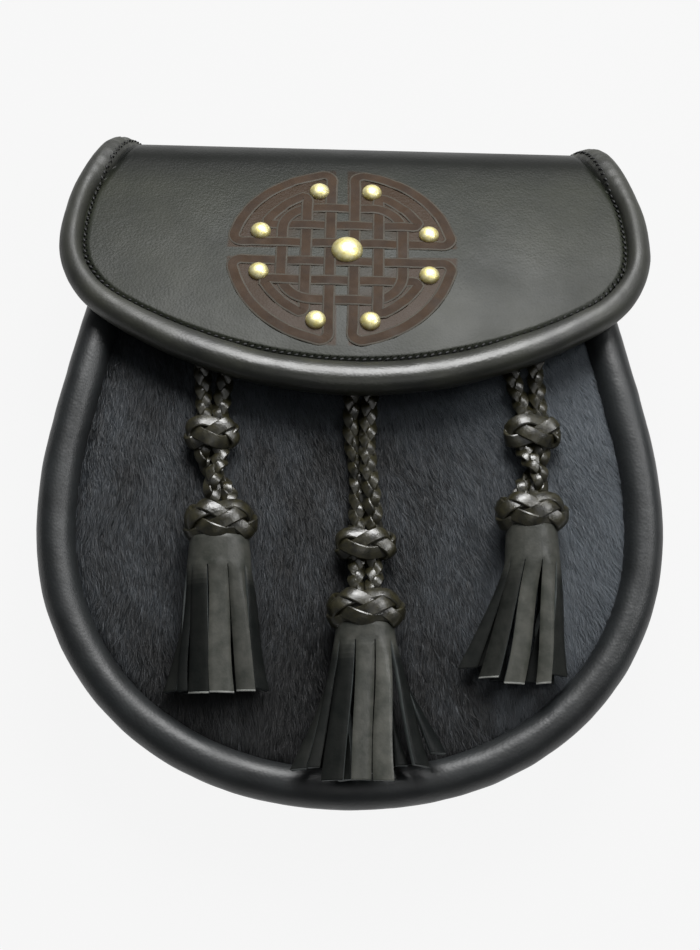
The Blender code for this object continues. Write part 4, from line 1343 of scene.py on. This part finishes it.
def back():
    """The flat back, cut to the pouch's outline, with a rounded edge and a seam near it."""
    plan = [(x, front_profile(s)[0], nx, ns) for x, s, nx, ns in whole_outline(body_outline(*PANEL_PIECES))]
    outline, seam = ([(x - inset * nx, y - inset * ns) for x, y, nx, ns in plan]
                     for inset in (BACK_INSET, BACK_INSET + BACK_SEAM_INSET))
    half_top = outline[-1][0]
    outline = [(-half_top, BACK_TOP_Y)] + outline + [(half_top, BACK_TOP_Y)]
    bpy.ops.object.select_all(action="DESELECT")
    bpy.ops.mesh.primitive_circle_add(vertices=len(outline), radius=1.0, fill_type="NGON")
    piece = bpy.context.object
    for vertex, (x, y) in zip(piece.data.vertices, outline):
        vertex.co = Vector((x, y, back_face_z(y))) * MM
    face_outwards(piece)
    if piece.data.polygons[0].normal.z > 0:
        piece.data.flip_normals()
    wall(piece, BACK_LEATHER)
    round_edges(piece, BACK_EDGE)
    dress(piece, "back_leather", "back", "back_panel", smooth_deg=40)
    run = [Vector((x, y, back_face_z(y) + STITCH_SINK)) for x, y in seam]
    stitched_run("back_stitches", run, [DOWN] * len(run))


LOOP_CENTRES_X = (-42.0, 42.0)
LOOP_WIDTH = 20.0
LOOP_LEATHER = 2.0
LOOP_STATIONS = (        # y, on the back panel or on the floor
    (40.0, "back"), (48.0, "back"), (52.5, "floor"), (77.5, "floor"), (81.5, "back"), (87.5, "back"),
)
LOOP_CLEAR = 0.1         # of the back panel
LOOP_STEPS = 6           # between two stations
LOOP_COLUMNS = 8
LOOP_EDGE = 0.5
LOOP_STITCHES = (("lower", 43.5), ("upper", 85.2))       # name and y of each end's row
LOOP_ROW = (-8.0, -3.2, 3.2, 8.0)                        # across the loop


def strap_loop(name, centre_x, node):
    """A strip that leaves the back, runs flat along the floor and comes back, with a row of stitches each end."""
    line = []
    for y, carrier in LOOP_STATIONS:
        on_back = back_face_z(y) - LOOP_CLEAR - LOOP_LEATHER / 2
        line.append(Vector((0.0, y, LOOP_LEATHER / 2 if carrier == "floor" else on_back)))
    dense = [a.lerp(b, share / LOOP_STEPS) for a, b in zip(line, line[1:]) for share in range(LOOP_STEPS)]
    dense.append(line[-1])
    last = len(dense) - 1
    run = [(dense[max(k - 1, 0)] + 2 * dense[k] + dense[min(k + 1, last)]) / 4 for k in range(len(dense))]

    def place(a, b, _):
        return run[round((b + 1) / 2 * last)] + Vector((centre_x + a * LOOP_WIDTH / 2, 0, 0))

    piece = new_grid(LOOP_COLUMNS, last)
    form(piece, place)
    wall(piece, LOOP_LEATHER, offset=0.0)
    round_edges(piece, LOOP_EDGE)
    dress(piece, name, "back", node, smooth_deg=40)
    for end, y in LOOP_STITCHES:
        z = back_face_z(y) - LOOP_LEATHER - STITCH_SINK
        row = [Vector((centre_x + across, y, z)) for across in LOOP_ROW]
        stitched_run("%s_%s_stitches" % (name, end), row, [DOWN] * len(row))


# Flap

FLAP_SEAM = (            # v, and how far the seam is from the roll's axis there
    (-4.0, 8.0, 26.0, 38.0, 66.0, 84.0, 120.0),
    (6.8, 6.4, 4.2, 3.2, 3.2, 5.2, 4.6),
)
FLAP_STEP = 1.2          # along the flap's outline, from one row of its leather to the next
FLAP_ROLL_STEP = 1.5
FLAP_COLUMNS = 80
FLAP_SEAM_DEPTH = 1.2
FLAP_SEAM_WIDTH = 0.75
FLAP_SEAM_POWER = 2.2    # how flat its bottom is
FLAP_TUCK = 0.55         # share of the roll's radius at which the flap's edge ends, inside the roll
ROLL_FROM_SEAM = 0.5     # how far from the seam the roll's inner side ends
EAR_FROM_V = 64.0        # past here the stitches climb on top of the roll, within this length
EAR_CLIMB = 20.0
EAR_PUCKER = 0.28        # how much the leather bunches there from stitch to stitch
STITCH_FROM_SEAM = 0.3
EAR_STITCH = 0.5         # how far up the roll they climb, in shares of the seam's distance
STITCH_BED = 0.35        # how deep they lie in the roll
STITCH_LOWEST = -0.6     # beside the roll they lie in the seam
# Near-black discs of painted shade sit at the stitch holes:
HOLE_SIZE = 0.62
HOLE_ASIDE = 0.7
HOLE_LIFTS = (0.38, -0.25)       # over the stitch in the seam, under the one on the roll


def seam_reach(v):
    """How far the seam is from the roll's axis."""
    return float(np.interp(v, *FLAP_SEAM))


def ear_share(v):
    """0 up to the flap's ears, 1 past their foot."""
    return max(0.0, min(1.0, (v - EAR_FROM_V) / EAR_CLIMB))


def flap_roll_line():
    """The roll's axis on the unrolled flap, from ear to ear round the bottom: u, v, inward u and v, radius."""
    half = [(u, v, -nu, -nv, roll) for u, v, nu, nv, roll, row in flap_outline(FLAP_ROLL_STEP) if row < PIPING_ROWS]
    return [(-u, v, -nu, nv, roll) for u, v, nu, nv, roll in reversed(half[1:])] + half


def flap():
    """The flap's leather, pulled down into its seam beside the roll."""
    rows = [(u - FLAP_TUCK * roll * nu, v - FLAP_TUCK * roll * nv)
            for u, v, nu, nv, roll, _ in flap_outline(FLAP_STEP)[1:]]
    piece = drawn_sheet(rows, FLAP_COLUMNS)
    crowd_to_edges(piece, rows)
    nearest = near_run([(u, v) for u, v, _, _, _ in flap_roll_line()])

    def place(u, v, _):
        from_seam = abs(nearest(u, v)[0] - seam_reach(v)) / FLAP_SEAM_WIDTH
        return flap_point(u, v, -FLAP_SEAM_DEPTH * math.exp(-from_seam ** FLAP_SEAM_POWER))

    form(piece, place)
    wall(piece, FLAP_LEATHER)
    dress(piece, "flap_cowhide", "flap", "flap", smooth_deg=50)


def flap_roll():
    """The padded edge: its inner side is drawn in or out to meet the seam."""
    line = flap_roll_line()
    nearest = near_run([(u, v) for u, v, _, _, _ in line])

    def place(u, v, h):
        foot = nearest(u, v)[1]
        _, _, iu, iv, roll = min(line, key=lambda spot: (spot[0] - foot[0]) ** 2 + (spot[1] - foot[1]) ** 2)
        inward = (u - foot[0]) * iu + (v - foot[1]) * iv
        if inward > 0:
            more = inward * ((seam_reach(foot[1]) - ROLL_FROM_SEAM) / roll - 1)
            u, v = u + more * iu, v + more * iv
            h -= EAR_PUCKER * ear_share(foot[1]) * (1 + math.sin(foot[1] * math.pi / STITCH_PITCH))
        return flap_point(u, v, h)

    route = [(u, v, -FLAP_LEATHER / 2) for u, v, _, _, _ in line]
    roll_piece = padded_roll(route, [roll for _, _, _, _, roll in line], place)
    dress(roll_piece, "flap_roll", "flap roll", "flap_piping")
    stitches, hole_shades, outs = [], [], []
    for u, v, iu, iv, roll in line:
        reach = seam_reach(v)
        inset = reach + STITCH_FROM_SEAM - EAR_STITCH * reach * ear_share(v)
        bulge = max(0.0, 1 - (inset / (reach - ROLL_FROM_SEAM)) ** 2)
        h = max(STITCH_LOWEST, roll * math.sqrt(bulge) - FLAP_LEATHER / 2 - STITCH_BED)
        u, v = u + inset * iu, v + inset * iv
        stitches.append(flap_point(u, v, h))
        hole_shades.append(flap_point(u + HOLE_ASIDE * iu, v + HOLE_ASIDE * iv, h + HOLE_LIFTS[h != STITCH_LOWEST]))
        outs.append(flap_out(u, v))
    stitched_run("flap_stitches", stitches, outs)
    # Painted shade: a near-black disc at each stitch hole, beside its stitch.
    stitched_run("flap_stitch_hole_shades", hole_shades, outs, finish="hole", size=HOLE_SIZE, first=0.0)


# Interlace roundel: three looped squares, one inside the other, woven through each other

BAND_WIDTH = 3.9
BAND_PITCH = 7.6
BAND_HEIGHT = 0.26
BAND_WEAVE = 0.14        # how far a band rises over another, and dips under it
BAND_CLEAR = 0.04        # of the flap's face
BAND_STEP = 0.8          # along a band, between rings of points
WEAVE_REACH = (23.0, 23.0, 15.2)     # each loop's straight stretches weave as far as this from the centre
OUTER_LOOPS = (          # radius of its corners' arcs, how far round they go, end of its straight stretches
    (34.7, 80, 32.4), (27.1, 62, 22.8),
)
INNER_BEND = 10.0        # radius of the inner loop's corners
BAND_PROFILE = (         # across and up, in shares of the band's width and height
    (-0.5, -0.25), (-0.5, 0.5), (-0.45, 0.8), (-0.36, 0.94), (-0.2, 1.0), (0.2, 1.0), (0.36, 0.94), (0.45, 0.8),
    (0.5, 0.5), (0.5, -0.25),
)
BAND_EDGE_FACES = (1, 2, 6, 7)


def looped_square(loop):
    """Closed run of points of one of the three bands, on the flat flap, about the roundel's centre."""
    a = (loop + 0.5) * BAND_PITCH
    if loop < len(OUTER_LOOPS):
        radius, first_deg, straight = OUTER_LOOPS[loop]
        quarter = [Vector((a, straight * t / 8, 0)) for t in range(9)]
        arc = [math.radians(90 - first_deg + (2 * first_deg - 90) * k / 14) for k in range(14, -1, -1)]
        quarter += [Vector((radius * math.cos(turn), radius * math.sin(turn), 0)) for turn in arc]
        quarter += [Vector((straight * t / 8, a, 0)) for t in range(8, 0, -1)]
    else:
        middle = a - INNER_BEND
        arc = [math.radians(90 * k / 8) for k in range(9)]
        quarter = [Vector((a, t * middle / 4, 0)) for t in range(4)]
        quarter += [Vector((middle + INNER_BEND * math.cos(turn), middle + INNER_BEND * math.sin(turn), 0))
                    for turn in arc]
        quarter += [Vector((t * middle / 4, a, 0)) for t in (3, 2, 1)]
    run = []
    for quadrant in range(4):
        turned = Matrix.Rotation(math.pi / 2 * quadrant, 3, "Z")
        run += [turned @ point for point in quarter]
    return run


def weave_level(point, along, loop):
    """Height of a band at a point: over and under the bands that cross it, by turns."""
    first = -2.5 * BAND_PITCH
    upright = abs(along.y) > abs(along.x)
    across, run = (point.x, point.y) if upright else (point.y, point.x)
    if abs(run) > WEAVE_REACH[loop]:
        return 0.0
    line = round((across - first) / BAND_PITCH)
    level = math.cos(math.pi * (run - first) / BAND_PITCH) * (-1) ** line
    return BAND_WEAVE * level * (1 if upright else -1)


def roundel():
    """Bands of thin stained leather, rounded on top and pressed into the flap where they pass under."""
    shapes = []
    for loop in range(len(WEAVE_REACH)):
        knots = looped_square(loop)
        closed = smooth_route(knots + knots[:1], round(run_lengths(knots)[-1] / BAND_STEP))[:-1]
        count = len(closed)
        points = []
        for index in range(count):
            along = (closed[(index + 1) % count] - closed[index - 1]).normalized()
            side = Vector((along.y, -along.x, 0))
            level = weave_level(closed[index], along, loop)
            for across, height in BAND_PROFILE:
                place = closed[index] + side * across * BAND_WIDTH
                points.append(flap_point(BANDS_CENTRE[0] + place.x, BANDS_CENTRE[1] + place.y,
                                         level + height * BAND_HEIGHT + BAND_CLEAR))
        quads = ring_faces(count, len(BAND_PROFILE), closed=True)
        shapes.append((points, [(a, d, c, b) for a, b, c, d in quads]))
    points, faces = join_shapes(shapes)
    piece = mesh_piece(points, faces)
    for finish in ("band", "band edge"):
        piece.data.materials.append(FINISH[finish])
    edges = [int(k % len(BAND_PROFILE) in BAND_EDGE_FACES) for k in range(len(faces))]
    piece.data.polygons.foreach_set("material_index", edges)
    face_outwards(piece)
    dress(piece, "roundel_bands", "band", smooth_deg=40)


CENTRE_DOME = (5.0, 2.9)     # radius and height
RING_DOME = (3.2, 2.1)
DOME_LIP = 0.35
DOME_TURNED_IN = 0.8         # of its radius, under the lip
DOME_LIFT = 0.25             # of the lip's upper edge, over the flap


def dome_shape(radius, height):
    """A pressed dome with a small turned lip, its foot at z = 0, in millimetres."""
    bpy.ops.object.select_all(action="DESELECT")
    bpy.ops.mesh.primitive_uv_sphere_add(segments=32, ring_count=20, radius=radius)
    dome = bpy.context.object
    edit(dome)
    bpy.ops.mesh.bisect(plane_co=(0, 0, 0.001), plane_no=(0, 0, 1), clear_inner=True)
    bpy.ops.mesh.select_all(action="SELECT")
    bpy.ops.transform.resize(value=(1, 1, height / radius), center_override=(0, 0, 0))
    pick(dome, lambda co: co.z < 0.01 * radius)
    bpy.ops.mesh.extrude_region_move(TRANSFORM_OT_translate={"value": (0, 0, -DOME_LIP)})
    bpy.ops.mesh.extrude_region_move(TRANSFORM_OT_translate={"value": (0, 0, 0)})
    bpy.ops.transform.resize(value=(DOME_TURNED_IN, DOME_TURNED_IN, 1), center_override=(0, 0, 0))
    bpy.ops.mesh.edge_face_add()
    edit_done()
    put_in_order(dome)
    return dome


def stud(name, dome, u, v):
    """A copy of the dome, pressed on the flap."""
    turn = flap_out(u, v).to_track_quat("Z", "Y").to_matrix()
    foot = flap_point(u, v, DOME_LIFT)
    copy = dome.copy()
    copy.data = dome.data.copy()
    bpy.context.collection.objects.link(copy)
    form(copy, lambda *spot: foot + turn @ Vector(spot))
    dress(copy, name + "_dome", "brass", name, smooth_deg=50)


def studs():
    """One in the middle of the roundel, and eight round it in pairs."""
    big, small = dome_shape(*CENTRE_DOME), dome_shape(*RING_DOME)
    stud("centre_stud", big, *CENTRE_STUD_AT)
    sides = [axis_deg + side_deg for axis_deg in (0, 90, 180, 270) for side_deg in (-STUD_SIDE_DEG, STUD_SIDE_DEG)]
    for number, turn_deg in enumerate(sides, 1):
        turn = math.radians(turn_deg)
        stud("ring_stud_%d" % number, small, ROUNDEL_CENTRE[0] + STUD_RING_RADIUS * math.cos(turn),
             ROUNDEL_CENTRE[1] + STUD_RING_RADIUS * math.sin(turn))
    for dome in (big, small):
        bpy.data.objects.remove(dome)


def press_stud():
    """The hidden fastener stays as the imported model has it, in brass."""
    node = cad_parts["press_stud"]
    node.data.materials.clear()
    node.data.materials.append(FINISH["brass"])


camera()
studio()
for tassel_row in TASSELS:
    tassel(tassel_row)
front_roll()
front()
gusset()
back()
for side_name, loop_x in zip(("left", "right"), LOOP_CENTRES_X):
    strap_loop(side_name + "_strap_keeper", loop_x, "strap_loop_" + side_name)
flap()
flap_roll()
roundel()
studs()
press_stud()
